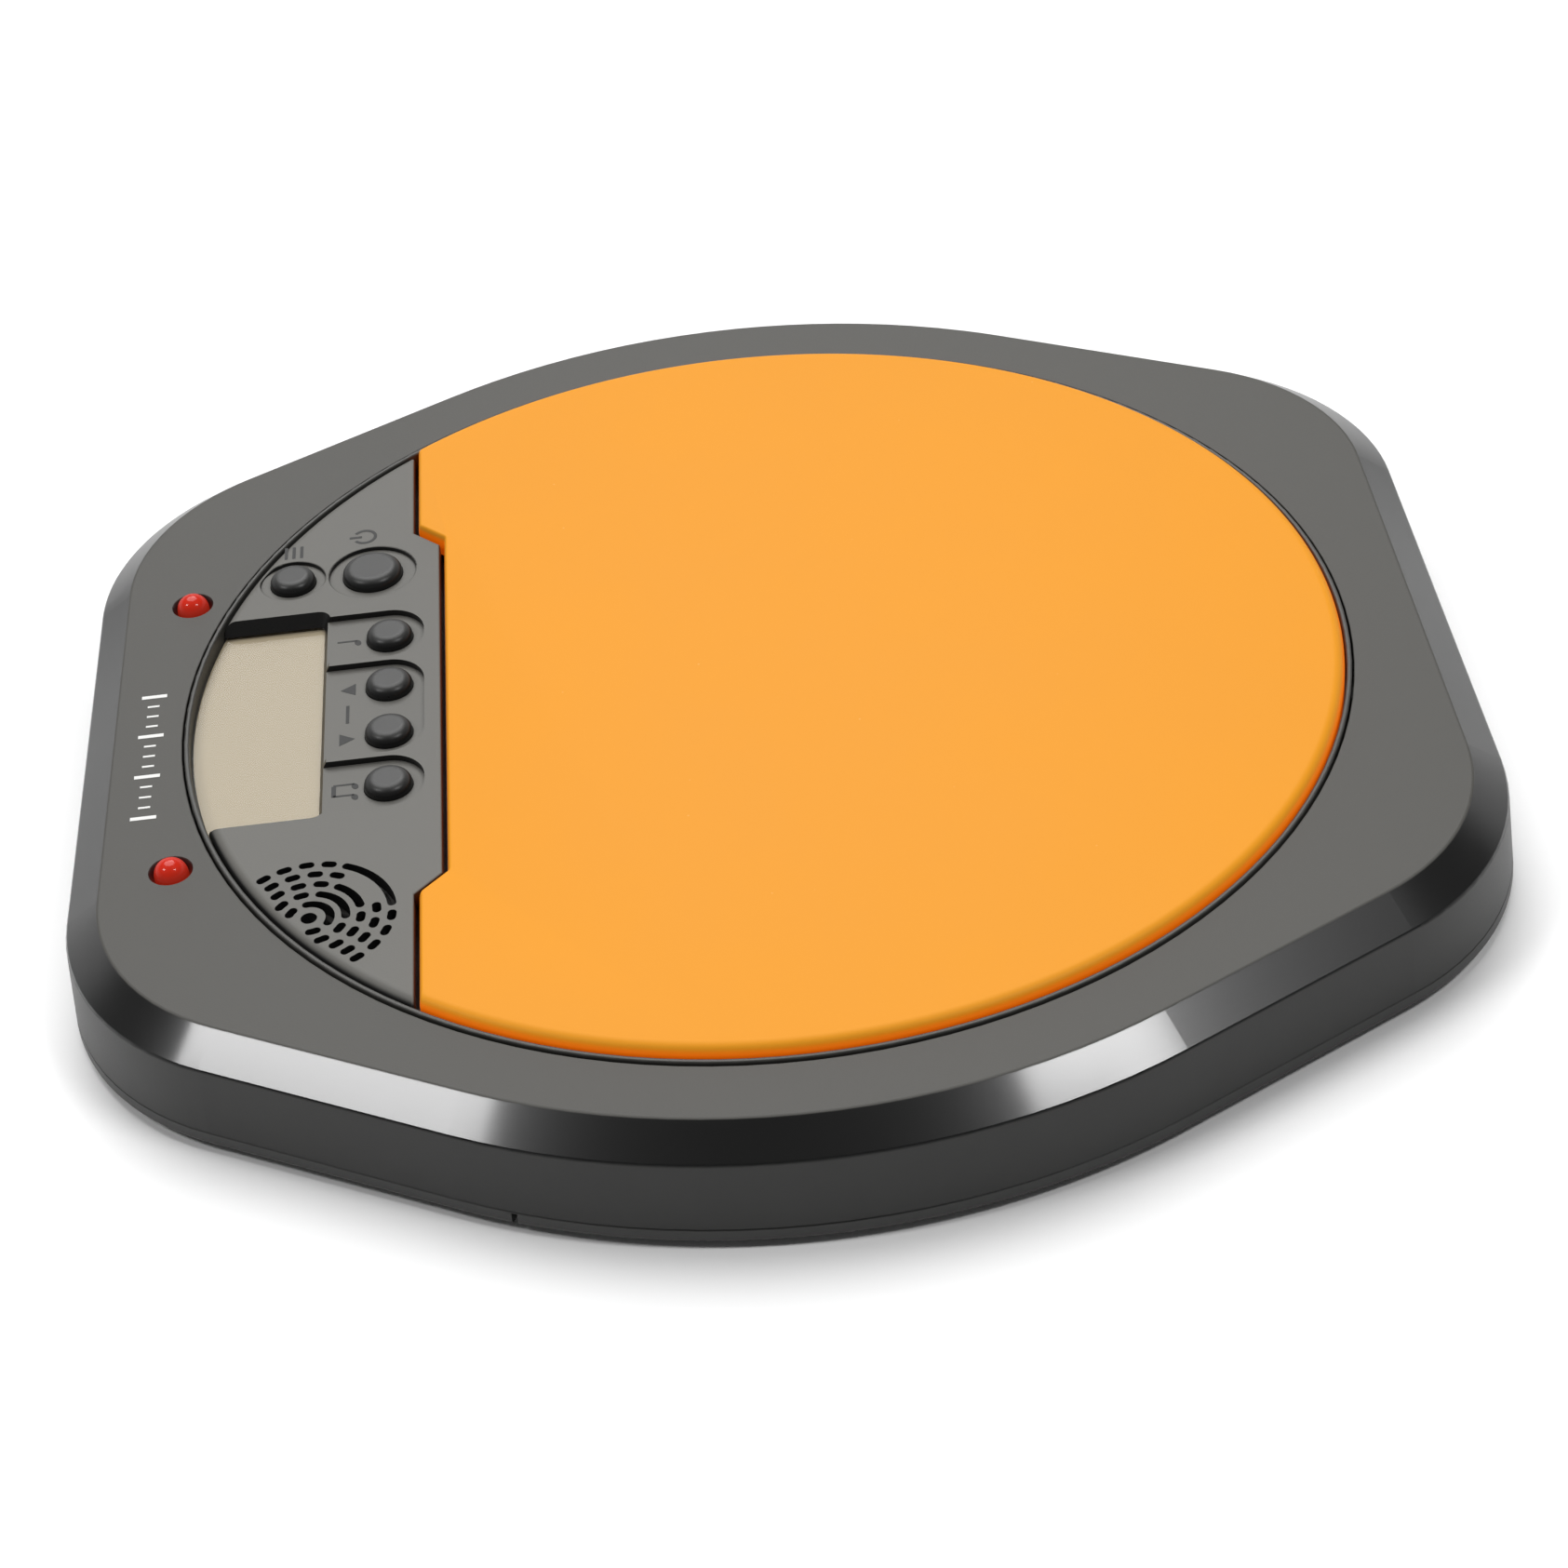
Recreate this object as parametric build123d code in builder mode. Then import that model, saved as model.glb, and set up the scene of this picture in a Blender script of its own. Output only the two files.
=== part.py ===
from build123d import *

# Electronic practice pad with a control panel: a round playing pad and a segment-shaped panel share one
# opening in a squarish two-part casing. Millimetres, +Z up, +Y towards the control panel. The origin is
# the centre of the casing on the surface that the feet stand on.

import os
from math import atan2, cos, degrees, hypot, radians, sin, sqrt, tan

os.makedirs("parts", exist_ok=True)

# ---- Casing plan -------------------------------------------------------------------------------
opening_radius = 128.0          # round opening in the top face
side_border = 22.0              # opening to the side arcs, at the top of the side wall
end_border = 22.5               # opening to the flat ends
corner_radius = 56.8
corner_centre_x = 55.2
wall_draft = 4.9                # side wall leans out towards the table, degrees
bevel_inset = 7.6
bevel_rise = 5.35
wall = 2.4
top_thickness = 2.6
floor_thickness = 2.4
band_height = 3.3               # lower casing's visible band
edge_radius = 0.9
opening_edge_radius = 0.35
pilot_depth = 8.0
groove = 0.45                   # bevel along the parting line
side_arc_radius = opening_radius + side_border
end_reach = opening_radius + end_border
corner_centre_y = end_reach - corner_radius

# ---- Battery stack, which sets the casing's height ----------------------------------------------
foot_height = 2.0
door_thickness = 2.0
cell_to_door = 0.4
cell_diameter = 10.5
cell_length = 44.5
cell_count = 3
cell_gap = 0.6
roof_gap = 0.3
roof_thickness = 1.4
tray_gap = 0.4
case_bottom = foot_height
floor_top = case_bottom + floor_thickness
cell_base = case_bottom + door_thickness + cell_to_door
roof_base = cell_base + cell_diameter + roof_gap
roof_top = roof_base + roof_thickness

# ---- Pad stack ---------------------------------------------------------------------------------
tray_thickness = 3.0
sensor_plate_thickness = 1.0
foam_thickness = 2.0
pad_thickness = 5.6
pad_proud = 2.5
pad_edge_radius = 3.0
tray_base = roof_top + tray_gap
tray_top = tray_base + tray_thickness
foam_base = tray_top + sensor_plate_thickness
pad_base = foam_base + foam_thickness
pad_top = pad_base + pad_thickness
top_face = pad_top - pad_proud
bevel_start = top_face - bevel_rise
parting = case_bottom + band_height
plate_underside = top_face - top_thickness

# ---- Rim of the tray, and the pad and panel inside it ---------------------------------------------
rim_gap = 0.4                   # casing to rim
rim_width = 1.15
rim_proud = 0.5
inner_gap = 0.4                 # rim to pad, and rim to panel
seat_thickness = 2.0            # casing's ledge under the tray
seat_width = 7.0
skirt_thickness = 2.4
rim_outer = opening_radius - rim_gap
rim_inner = rim_outer - rim_width
inlay_radius = rim_inner - inner_gap
skirt_outer = opening_radius + skirt_thickness
seat_inner = opening_radius - seat_width
seat_base = tray_base - seat_thickness

# ---- Control panel -----------------------------------------------------------------------------
panel_depth = 51.1              # opening's edge to the panel's straight side
panel_step = 5.9                # the middle of the straight side stands out by this
step_half_length = 60.0
panel_gap = 1.5                 # panel to pad
panel_proud = 1.0
panel_thickness = 3.2
panel_roll = 2.4                # rolled edge along the arc
panel_lip = 2.5                 # width of the panel's downturned edge
panel_lip_depth = 1.3
side_edge_radius = 0.5
shelf_width = 3.0               # tray's shelf under the panel's arc
divider_thickness = 1.6
panel_top = top_face + panel_proud
panel_base = panel_top - panel_thickness
shelf_top = panel_base - panel_lip_depth
outer_side_y = opening_radius - panel_depth
middle_side_y = outer_side_y - panel_step

# ---- Display -----------------------------------------------------------------------------------
display_half_length = 37.6
display_centre_x = 0.7
display_side_y = outer_side_y + 19.1
display_wall_slope = 28.0       # degrees from upright
display_corner = 3.0
window_margin = 2.0
window_thickness = 0.8
film_thickness = 0.4            # polarising film under the window
window_gap = 0.1
window_side_gap = 0.3
module_gap = 0.3
module_margin = 1.5

# ---- Buttons -----------------------------------------------------------------------------------
small_cap_radius = 5.25
power_cap_radius = 6.9
cap_height = 2.7                # above the floor it stands on
cap_edge_radius = 2.3
cap_gap = 0.15
flange_width = 0.8
flange_thickness = 0.9
flange_gap = 0.05
stem_radius = 1.8
button_travel = 0.6
switch_gap = 0.1
row_y = middle_side_y + 11.6    # the four keys under the display
row_outer_x = 27.0
row_inner_x = 8.6
column_x = 52.0                 # mode and power keys beside the display
mode_y = outer_side_y + 28.1
power_y = outer_side_y + 9.7
mode_dish_radius = 7.5
power_dish_radius = 10.0
dish_depth = 1.0
tray_cut_depth = 1.5
tray_cut_end = 3.7              # panel's side to the rounded end of a key tray
single_tray_half = 8.8
double_tray_half = 16.8
tray_corner = 8.2
cut_edge_radius = 0.4

# ---- Boards and switches ------------------------------------------------------------------------
board_thickness = 1.6
board_gap = 0.2
board_edge_gap = 2.5            # board to the casing's ledge
board_left_x = -41.0
board_right_x = 66.0
switch_side = 6.0
switch_body = 3.4
switch_plunger = 0.9
plunger_radius = 1.7
board_top = tray_base - board_gap
board_base = board_top - board_thickness
board_side_y = middle_side_y + 2.5

# ---- Speaker and grille -------------------------------------------------------------------------
grille_inset = 5.35             # panel's arc to the fan's centre hole
grille_y = outer_side_y + 21.6
grille_hole_radius = 1.7
grille_first_radius = 4.4
grille_pitch = 3.18
slot_width = 1.9
slot_length = 3.3
slot_pitch = 4.75
long_slot_gap = 1.3             # from a long slot to the next
plain_arc_start = 31.0          # degrees from the fan's middle to the first slot of an arc with no long slot
# For each arc of slots: half angle of its long middle slot (0 for none), and slots on each side of it.
grille_arcs = [(62.0, 1), (38.5, 2), (21.5, 3), (0.0, 4), (28.6, 4)]
speaker_offset = 9.2            # fan centre to speaker centre, towards the middle
speaker_lip_gap = 0.1           # panel's downturned edge to the speaker
speaker_radius = 11.5
speaker_depth = 6.3
speaker_flange = 1.2
magnet_radius = 7.0
speaker_wall = 0.6

# ---- LEDs --------------------------------------------------------------------------------------
led_radius = 3.65
led_angle = 69.5                # from +X, and its mirror image
led_outside = 8.8               # opening's edge to the LED's axis
led_sunk = 1.0                  # dome's centre below the top face
led_gap = 0.15
led_flange = 0.75
led_body = 4.1
led_sink_radius = 4.75
led_sink_angle = 68.0
led_well_wall = 1.4
led_board_x = 12.0
led_board_y = 8.0
led_board_thickness = 1.2

# ---- Battery compartment, door and contacts -------------------------------------------------------
battery_y = -72.0
battery_wall = 1.6
spring_length = 5.0
contact_thickness = 0.4
contact_side = 8.0
nub_height = 1.0
nub_radius = 1.9
spring_wire = 0.5
spring_base_radius = 3.2
spring_turns = 4
door_gap = 0.25
hook_width = 8.0
hook_spacing = 30.0
hook_reach = 1.8
hook_thickness = 0.9
hook_lift = 0.1
hook_neck = 1.0
catch_width = 12.0
rib_count = 5
battery_length = cell_length + spring_length + 2 * contact_thickness + 0.7
battery_width = cell_count * cell_diameter + (cell_count - 1) * cell_gap + 1.3

# ---- Feet, screws, sockets and stand insert -------------------------------------------------------
foot_radius = 9.0
foot_place = 88.0
foot_recess = 0.8
fit_gap = 0.2
screw_play = 0.05
case_screw_radius = 1.45
case_screw_head = 2.8
case_screw_angles = [0, 60, 120, 180, 240, 300]
case_boss_radius = 4.2
case_boss_ring = opening_radius + 11.0
lower_boss_top = parting + 2.7
head_shelf = parting + 0.3
small_screw_radius = 1.0
small_screw_head = 1.9
small_head_height = 1.2
tray_screw_angles = [30, 90, 150, 210, 270, 330]
tray_screw_ring = rim_inner - 1.2
tray_screw_bite = 2.4
panel_screw_bite = 2.4
panel_pilot_depth = 3.0
case_screw_bite = 7.0
board_screw_bite = 5.0
head_gap = 0.1                  # round a sunk head and its shank
head_sink = 0.2
head_round = 0.4                # share of a head's height
socket_width = 0.42             # share of a head's radius
socket_depth = 0.5              # share of a head's height
panel_screw_angles = [47, 62, 118, 133]
panel_screw_ring = inlay_radius - 1.3
insert_radius = 6.0
insert_bore = 3.4               # M8 thread's core
insert_length = 10.0
socket_x = 14.0
phones_bore = 1.8
phones_nose = 2.9
phones_depth = 13.0
phones_half_width = 5.5
phones_height = 7.2
power_bore = 2.8
power_nose = 4.0
power_pin = 1.0
power_depth = 9.0
power_half_width = 4.8
power_height = 8.5
jack_board_width = 54.0
jack_board_depth = 13.0
jack_board_top = 9.0
socket_z = jack_board_top + power_nose + fit_gap
lead_radius = 1.0
notch_angle = 156.3
notch_width = 1.2
notch_depth = 4.0
lip_height = 2.4
lip_thickness = 1.4
lip_gap = 0.2
floor_rib_places = (-60.0, -40.0, 40.0, 60.0)
floor_rib_y = -20.0
floor_rib_width = 1.6
floor_rib_length = 150.0
floor_rib_height = 3.0
board_post_radius = 3.0
jack_post_radius = 2.6
board_pilot_depth = 6.0
jack_pilot_depth = 2.6
insert_boss_wall = 3.0


def flare_at(height):
    """How far the drafted side wall stands outside its top edge at a height."""
    return (bevel_start - height) * tan(radians(wall_draft))


def polar(radius, angle):
    """Point at a radius and an angle in degrees from +X."""
    return (radius * cos(radians(angle)), radius * sin(radians(angle)))


def case_outline(grow=0.0):
    """Plan of the casing at the top of its side wall, grown by an offset."""
    with BuildSketch() as outline:
        with BuildLine():
            CenterArc((0, 0), side_arc_radius + grow, 0, 360)
            for x in (-corner_centre_x, corner_centre_x):
                for y in (-corner_centre_y, corner_centre_y):
                    CenterArc((x, y), corner_radius + grow, 0, 360)
        make_hull()
    return outline.sketch


def panel_side(grow=0.0):
    """Region on the panel's side of its stepped straight edge, grown by an offset."""
    far = 2 * opening_radius
    step_outer = step_half_length + panel_step
    with BuildSketch() as region:
        Polygon(
            (-far, outer_side_y),
            (-step_outer, outer_side_y),
            (-step_half_length, middle_side_y),
            (step_half_length, middle_side_y),
            (step_outer, outer_side_y),
            (far, outer_side_y),
            (far, far),
            (-far, far),
            align=None,
        )
        if grow:
            offset(amount=grow, kind=Kind.INTERSECTION)
    return region.sketch


def pad_plan(shrink=0.0):
    """Plan of the playing pad: the inlay circle less the panel's side."""
    with BuildSketch() as plan:
        Circle(inlay_radius - shrink)
        add(panel_side(panel_gap + shrink), mode=Mode.SUBTRACT)
    return plan.sketch


def panel_plan(shrink=0.0):
    """Plan of the control panel: the segment of the inlay circle on its side."""
    with BuildSketch() as plan:
        Circle(inlay_radius - shrink)
        add(panel_side(-shrink), mode=Mode.INTERSECT)
    return plan.sketch


def case_block(low, low_grow, high, high_grow):
    """Casing-shaped block whose side leans straight from one outline to the next."""
    with BuildPart() as block:
        with BuildSketch(Plane.XY.offset(low)):
            add(case_outline(low_grow))
        with BuildSketch(Plane.XY.offset(high)):
            add(case_outline(high_grow))
        loft(ruled=True)
    return block.part


def finish(piece, name):
    """Label a finished piece and write its STEP file."""
    piece.label = name
    export_step(piece, f"parts/{name}.step")


grille_x = -sqrt((inlay_radius - grille_inset) ** 2 - grille_y ** 2)
grille_centre_radius = hypot(grille_x, grille_y)
speaker_y = outer_side_y + panel_lip + speaker_lip_gap + speaker_radius
speaker_x = -sqrt((grille_centre_radius - speaker_offset) ** 2 - speaker_y ** 2)
led_ring = opening_radius + led_outside
led_spots = {"right": polar(led_ring, led_angle), "left": polar(led_ring, 180 - led_angle)}
led_centre_z = top_face - led_sunk
led_base = led_centre_z - led_body
led_well_radius = led_radius + led_flange + led_gap

# name: (x, y, cap radius, depth of the floor it stands on)
buttons = {
    "power_button": (column_x, power_y, power_cap_radius, dish_depth),
    "mode_button": (column_x, mode_y, small_cap_radius, dish_depth),
    "beat_button": (row_outer_x, row_y, small_cap_radius, tray_cut_depth),
    "tempo_up_button": (row_inner_x, row_y, small_cap_radius, tray_cut_depth),
    "tempo_down_button": (-row_inner_x, row_y, small_cap_radius, tray_cut_depth),
    "rhythm_button": (-row_outer_x, row_y, small_cap_radius, tray_cut_depth),
}
board_screws_at = [
    (board_left_x + 3, middle_side_y + 6),
    (board_left_x + 3, outer_side_y + 30),
    (row_outer_x + 12, middle_side_y + 6),
    (board_right_x - 4, outer_side_y + 19),
]
foot_spots = {
    "foot_rear_right": (foot_place, foot_place),
    "foot_rear_left": (-foot_place, foot_place),
    "foot_front_left": (-foot_place, -foot_place),
    "foot_front_right": (foot_place, -foot_place),
}
case_screw_spots = [polar(case_boss_ring, angle) for angle in case_screw_angles]
tray_screw_spots = [polar(tray_screw_ring, angle) for angle in tray_screw_angles]
panel_screw_spots = [polar(panel_screw_ring, angle) for angle in panel_screw_angles]
jack_board_y = skirt_outer + 3.0 + jack_board_depth / 2
jack_board_edge = jack_board_y + jack_board_depth / 2

# ---- Upper casing ------------------------------------------------------------------------------
bevel_angle = degrees(atan2(bevel_rise, bevel_inset))
inner_bevel_drop = wall / cos(radians(bevel_angle)) - wall * tan(radians(bevel_angle))
inner_bevel_start = bevel_start - inner_bevel_drop
inner_bevel_run = (plate_underside - inner_bevel_start) / tan(radians(bevel_angle))
pilot_radius = case_screw_radius + screw_play

with BuildPart() as upper_case:
    add(case_block(parting, flare_at(parting), bevel_start, 0.0))
    add(case_block(bevel_start, 0.0, top_face, -bevel_inset))
    top_edges = upper_case.edges().filter_by_position(Axis.Z, top_face - 0.01, top_face + 0.01)
    bevel_edges = upper_case.edges().filter_by_position(Axis.Z, bevel_start - 0.01, bevel_start + 0.01)
    fillet(top_edges + bevel_edges, edge_radius)
    # Hollow under the side wall, then under the bevel.
    add(case_block(parting, flare_at(parting) - wall, inner_bevel_start, -wall), mode=Mode.SUBTRACT)
    add(case_block(inner_bevel_start, -wall, plate_underside, -wall - inner_bevel_run),
        mode=Mode.SUBTRACT)
    # Skirt round the opening and the ledge that the tray sits on.
    with BuildSketch(Plane.XY.offset(seat_base)):
        Circle(skirt_outer)
    extrude(amount=plate_underside - seat_base)
    with BuildSketch(Plane.XY.offset(tray_base)):
        Circle(opening_radius)
    extrude(amount=top_face - tray_base, mode=Mode.SUBTRACT)
    with BuildSketch(Plane.XY.offset(seat_base)):
        Circle(seat_inner)
    extrude(amount=seat_thickness, mode=Mode.SUBTRACT)
    top_circles = upper_case.edges().filter_by(GeomType.CIRCLE).group_by(Axis.Z)[-1]
    opening_edge = [edge for edge in top_circles if abs(edge.radius - opening_radius) < 0.01]
    fillet(opening_edge, opening_edge_radius)
    # Bosses for the casing screws.
    with BuildSketch(Plane.XY.offset(lower_boss_top)):
        with Locations(*case_screw_spots):
            Circle(case_boss_radius)
    extrude(amount=plate_underside - lower_boss_top)
    with BuildSketch(Plane.XY.offset(lower_boss_top)):
        with Locations(*case_screw_spots):
            Circle(pilot_radius)
    extrude(amount=pilot_depth, mode=Mode.SUBTRACT)
    # Holes through the ledge for the tray screws.
    with BuildSketch(Plane.XY.offset(seat_base)):
        with Locations(*tray_screw_spots):
            Circle(small_screw_radius + 0.15)
    extrude(amount=seat_thickness, mode=Mode.SUBTRACT)
    # LED wells and their countersunk holes.
    with BuildSketch(Plane.XY.offset(led_base)):
        with Locations(*led_spots.values()):
            Circle(led_well_radius + led_well_wall)
    extrude(amount=plate_underside - led_base)
    with BuildSketch(Plane.XY.offset(led_base)):
        with Locations(*led_spots.values()):
            Circle(led_well_radius)
    extrude(amount=plate_underside - led_base, mode=Mode.SUBTRACT)
    with Locations(*[(x, y, top_face) for x, y in led_spots.values()]):
        CounterSinkHole(led_radius + led_gap, led_sink_radius, top_thickness, led_sink_angle)
    # Socket holes in the rear wall.
    for x, nose in ((-socket_x, phones_nose), (socket_x, power_nose)):
        with BuildSketch(Plane((x, end_reach + 5, socket_z), x_dir=(1, 0, 0), z_dir=(0, 1, 0))):
            Circle(nose + fit_gap)
        extrude(amount=-12, mode=Mode.SUBTRACT)
finish(upper_case.part, "upper_case")

# ---- Lower casing ------------------------------------------------------------------------------
boss_recess_depth = head_shelf - case_bottom
hook_spots = (-hook_spacing / 2, hook_spacing / 2)
hook_slot_height = 2.6 + hook_thickness + hook_reach
battery_front_y = battery_y - battery_width / 2

with BuildPart() as lower_case:
    groove_base = parting - groove
    add(case_block(case_bottom, flare_at(case_bottom), groove_base, flare_at(groove_base)))
    bottom_edges = lower_case.edges().filter_by_position(Axis.Z, case_bottom - 0.01, case_bottom + 0.01)
    fillet(bottom_edges, edge_radius)
    add(case_block(groove_base, flare_at(groove_base), parting, flare_at(parting) - groove))
    with BuildSketch(Plane.XY.offset(floor_top)):
        add(case_outline(flare_at(parting) - wall - lip_gap - lip_thickness))
    extrude(amount=parting - floor_top, mode=Mode.SUBTRACT)
    # Lip that stands up inside the upper casing's wall.
    with BuildSketch(Plane.XY.offset(parting)):
        add(case_outline(flare_at(parting + lip_height) - wall - lip_gap))
        add(case_outline(flare_at(parting) - wall - lip_gap - lip_thickness), mode=Mode.SUBTRACT)
    extrude(amount=lip_height)
    # Bosses: casing screws, main board, jack board and the stand insert.
    with BuildSketch(Plane.XY.offset(floor_top)):
        with Locations(*case_screw_spots):
            Circle(case_boss_radius + 0.4)
    extrude(amount=lower_boss_top - floor_top)
    with BuildSketch(Plane.XY.offset(floor_top)):
        with Locations(*board_screws_at):
            Circle(board_post_radius)
    extrude(amount=board_base - floor_top)
    with BuildSketch(Plane.XY.offset(floor_top)):
        with Locations((0, jack_board_y)):
            with GridLocations(jack_board_width - 8, jack_board_depth - 7, 2, 1):
                Circle(jack_post_radius)
    extrude(amount=jack_board_top - board_thickness - floor_top)
    with BuildSketch(Plane.XY.offset(floor_top)):
        Circle(insert_radius + insert_boss_wall)
    extrude(amount=insert_length - floor_thickness)
    # Battery box.
    with BuildSketch(Plane.XY.offset(floor_top)):
        with Locations((0, battery_y)):
            Rectangle(battery_length + 2 * battery_wall, battery_width + 2 * battery_wall)
    extrude(amount=roof_top - floor_top)
    with BuildSketch(Plane.XY.offset(case_bottom)):
        with Locations((0, battery_y)):
            Rectangle(battery_length, battery_width)
    extrude(amount=roof_base - case_bottom, mode=Mode.SUBTRACT)
    with BuildSketch(Plane.XY.offset(floor_top)):
        with Locations(*[(x, battery_front_y - battery_wall / 2) for x in hook_spots]):
            Rectangle(hook_width + 1.0, battery_wall)
    extrude(amount=hook_slot_height, mode=Mode.SUBTRACT)
    # Stiffening ribs along the floor, on both sides of the battery box.
    with BuildSketch(Plane.XY.offset(floor_top)):
        with Locations(*[(x, floor_rib_y) for x in floor_rib_places]):
            Rectangle(floor_rib_width, floor_rib_length)
    extrude(amount=floor_rib_height)
    # Screw holes with sunk heads, board screw pilots, feet and insert pockets.
    with Locations(*[(x, y, case_bottom) for x, y in case_screw_spots]):
        Cylinder(case_screw_head + fit_gap, boss_recess_depth, mode=Mode.SUBTRACT,
                 align=(Align.CENTER, Align.CENTER, Align.MIN))
        Cylinder(case_screw_radius + 0.2, lower_boss_top - case_bottom, mode=Mode.SUBTRACT,
                 align=(Align.CENTER, Align.CENTER, Align.MIN))
    with BuildSketch(Plane.XY.offset(board_base)):
        with Locations(*board_screws_at):
            Circle(small_screw_radius + screw_play)
    extrude(amount=-board_pilot_depth, mode=Mode.SUBTRACT)
    with BuildSketch(Plane.XY.offset(jack_board_top - board_thickness)):
        with Locations((0, jack_board_y)):
            with GridLocations(jack_board_width - 8, jack_board_depth - 7, 2, 1):
                Circle(small_screw_radius + screw_play)
    extrude(amount=-jack_pilot_depth, mode=Mode.SUBTRACT)
    with BuildSketch(Plane.XY.offset(case_bottom)):
        with Locations(*foot_spots.values()):
            Circle(foot_radius + fit_gap)
    extrude(amount=foot_recess, mode=Mode.SUBTRACT)
    with BuildSketch(Plane.XY.offset(case_bottom)):
        Circle(insert_radius)
    extrude(amount=insert_length, mode=Mode.SUBTRACT)
    # Narrow slot in the band.
    notch_plane = Plane.XY.offset(case_bottom).rotated((0, 0, notch_angle))
    with BuildSketch(notch_plane):
        with Locations((side_arc_radius + flare_at(case_bottom) - notch_depth / 2 + 0.5, 0)):
            Rectangle(notch_depth + 1.0, notch_width)
    extrude(amount=band_height - 0.5, mode=Mode.SUBTRACT)
finish(lower_case.part, "lower_case")

# ---- Pad tray ----------------------------------------------------------------------------------
shelf_inner = rim_inner - shelf_width
piezo_hole_radius = 16.0
piezo_y = -15.0

with BuildPart() as pad_tray:
    with BuildSketch(Plane.XY.offset(tray_base)):
        Circle(rim_outer)
    extrude(amount=tray_thickness)
    with BuildSketch(Plane.XY.offset(tray_base)):
        Circle(shelf_inner)
        add(panel_side(), mode=Mode.INTERSECT)
    extrude(amount=tray_thickness, mode=Mode.SUBTRACT)
    # Rim all round, shelf under the panel's arc, divider under its straight side.
    with BuildSketch(Plane.XY.offset(tray_base)):
        Circle(rim_outer)
        Circle(rim_inner, mode=Mode.SUBTRACT)
    extrude(amount=top_face + rim_proud - tray_base)
    rim_edges = pad_tray.edges().filter_by(GeomType.CIRCLE).group_by(Axis.Z)[-1]
    fillet(rim_edges, 0.45)
    with BuildSketch(Plane.XY.offset(tray_base)):
        Circle(rim_inner + 0.3)
        Circle(shelf_inner, mode=Mode.SUBTRACT)
        add(panel_side(), mode=Mode.INTERSECT)
    extrude(amount=shelf_top - tray_base)
    with BuildSketch(Plane.XY.offset(tray_base)):
        Circle(rim_inner + 0.3)
        add(panel_side(), mode=Mode.INTERSECT)
        add(panel_side(-divider_thickness), mode=Mode.SUBTRACT)
    extrude(amount=shelf_top - tray_base)
    with BuildSketch(Plane.XY.offset(tray_base)):
        with Locations((0, piezo_y)):
            Circle(piezo_hole_radius)
    extrude(amount=tray_thickness, mode=Mode.SUBTRACT)
    with BuildSketch(Plane.XY.offset(tray_base)):
        with Locations(*tray_screw_spots):
            Circle(small_screw_radius + screw_play)
    extrude(amount=tray_screw_bite, mode=Mode.SUBTRACT)
    # Panel screws pass up through the shelf, with sunk heads.
    with BuildSketch(Plane.XY.offset(tray_base)):
        with Locations(*panel_screw_spots):
            Circle(small_screw_radius + head_gap)
    extrude(amount=shelf_top - tray_base, mode=Mode.SUBTRACT)
    with BuildSketch(Plane.XY.offset(tray_base)):
        with Locations(*panel_screw_spots):
            Circle(small_screw_head + head_gap)
    extrude(amount=small_head_height + head_sink, mode=Mode.SUBTRACT)
finish(pad_tray.part, "pad_tray")

# ---- Sensor plate, damping sheet and playing pad ---------------------------------------------------
with BuildPart() as sensor_plate:
    with BuildSketch(Plane.XY.offset(tray_top)):
        add(pad_plan(1.0))
    extrude(amount=sensor_plate_thickness)
finish(sensor_plate.part, "sensor_plate")

with BuildPart() as damping_sheet:
    with BuildSketch(Plane.XY.offset(foam_base)):
        add(pad_plan(0.6))
    extrude(amount=foam_thickness)
finish(damping_sheet.part, "damping_sheet")

with BuildPart() as playing_pad:
    with BuildSketch(Plane.XY.offset(pad_base)):
        add(pad_plan())
    extrude(amount=pad_thickness)
    fillet(playing_pad.faces().sort_by(Axis.Z)[-1].edges(), pad_edge_radius)
finish(playing_pad.part, "playing_pad")

# ---- Piezo sensor, bonded under the sensor plate ---------------------------------------------------
brass_thickness = 0.3
brass_radius = 13.5
ceramic_thickness = 0.25
ceramic_radius = 10.0

with BuildPart() as piezo_sensor:
    with BuildSketch(Plane.XY.offset(tray_top)):
        with Locations((0, piezo_y)):
            Circle(brass_radius)
    extrude(amount=-brass_thickness)
    with BuildSketch(Plane.XY.offset(tray_top - brass_thickness)):
        with Locations((0, piezo_y)):
            Circle(ceramic_radius)
    extrude(amount=-ceramic_thickness)
finish(piezo_sensor.part, "piezo_sensor")
piezo_base = tray_top - brass_thickness - ceramic_thickness

# ---- Control panel -----------------------------------------------------------------------------
tray_cut_y = middle_side_y + tray_cut_end
fan_direction = degrees(atan2(-grille_y, -grille_x))


def grille_slots(radius, long_half_angle, side_count):
    """Start and end angles of one arc's slots about the fan's centre, with its long middle slot."""
    half = degrees(slot_length - slot_width) / radius / 2
    step = degrees(slot_pitch) / radius
    beside_long = long_half_angle + degrees(slot_width + long_slot_gap) / radius + half
    start = beside_long if long_half_angle else plain_arc_start
    centres = [start + step * count for count in range(side_count)]
    middles = [fan_direction + side * centre for centre in centres for side in (-1, 1)]
    spans = [(middle - half, middle + half) for middle in middles]
    if long_half_angle:
        spans.append((fan_direction - long_half_angle, fan_direction + long_half_angle))
    return spans


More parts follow.
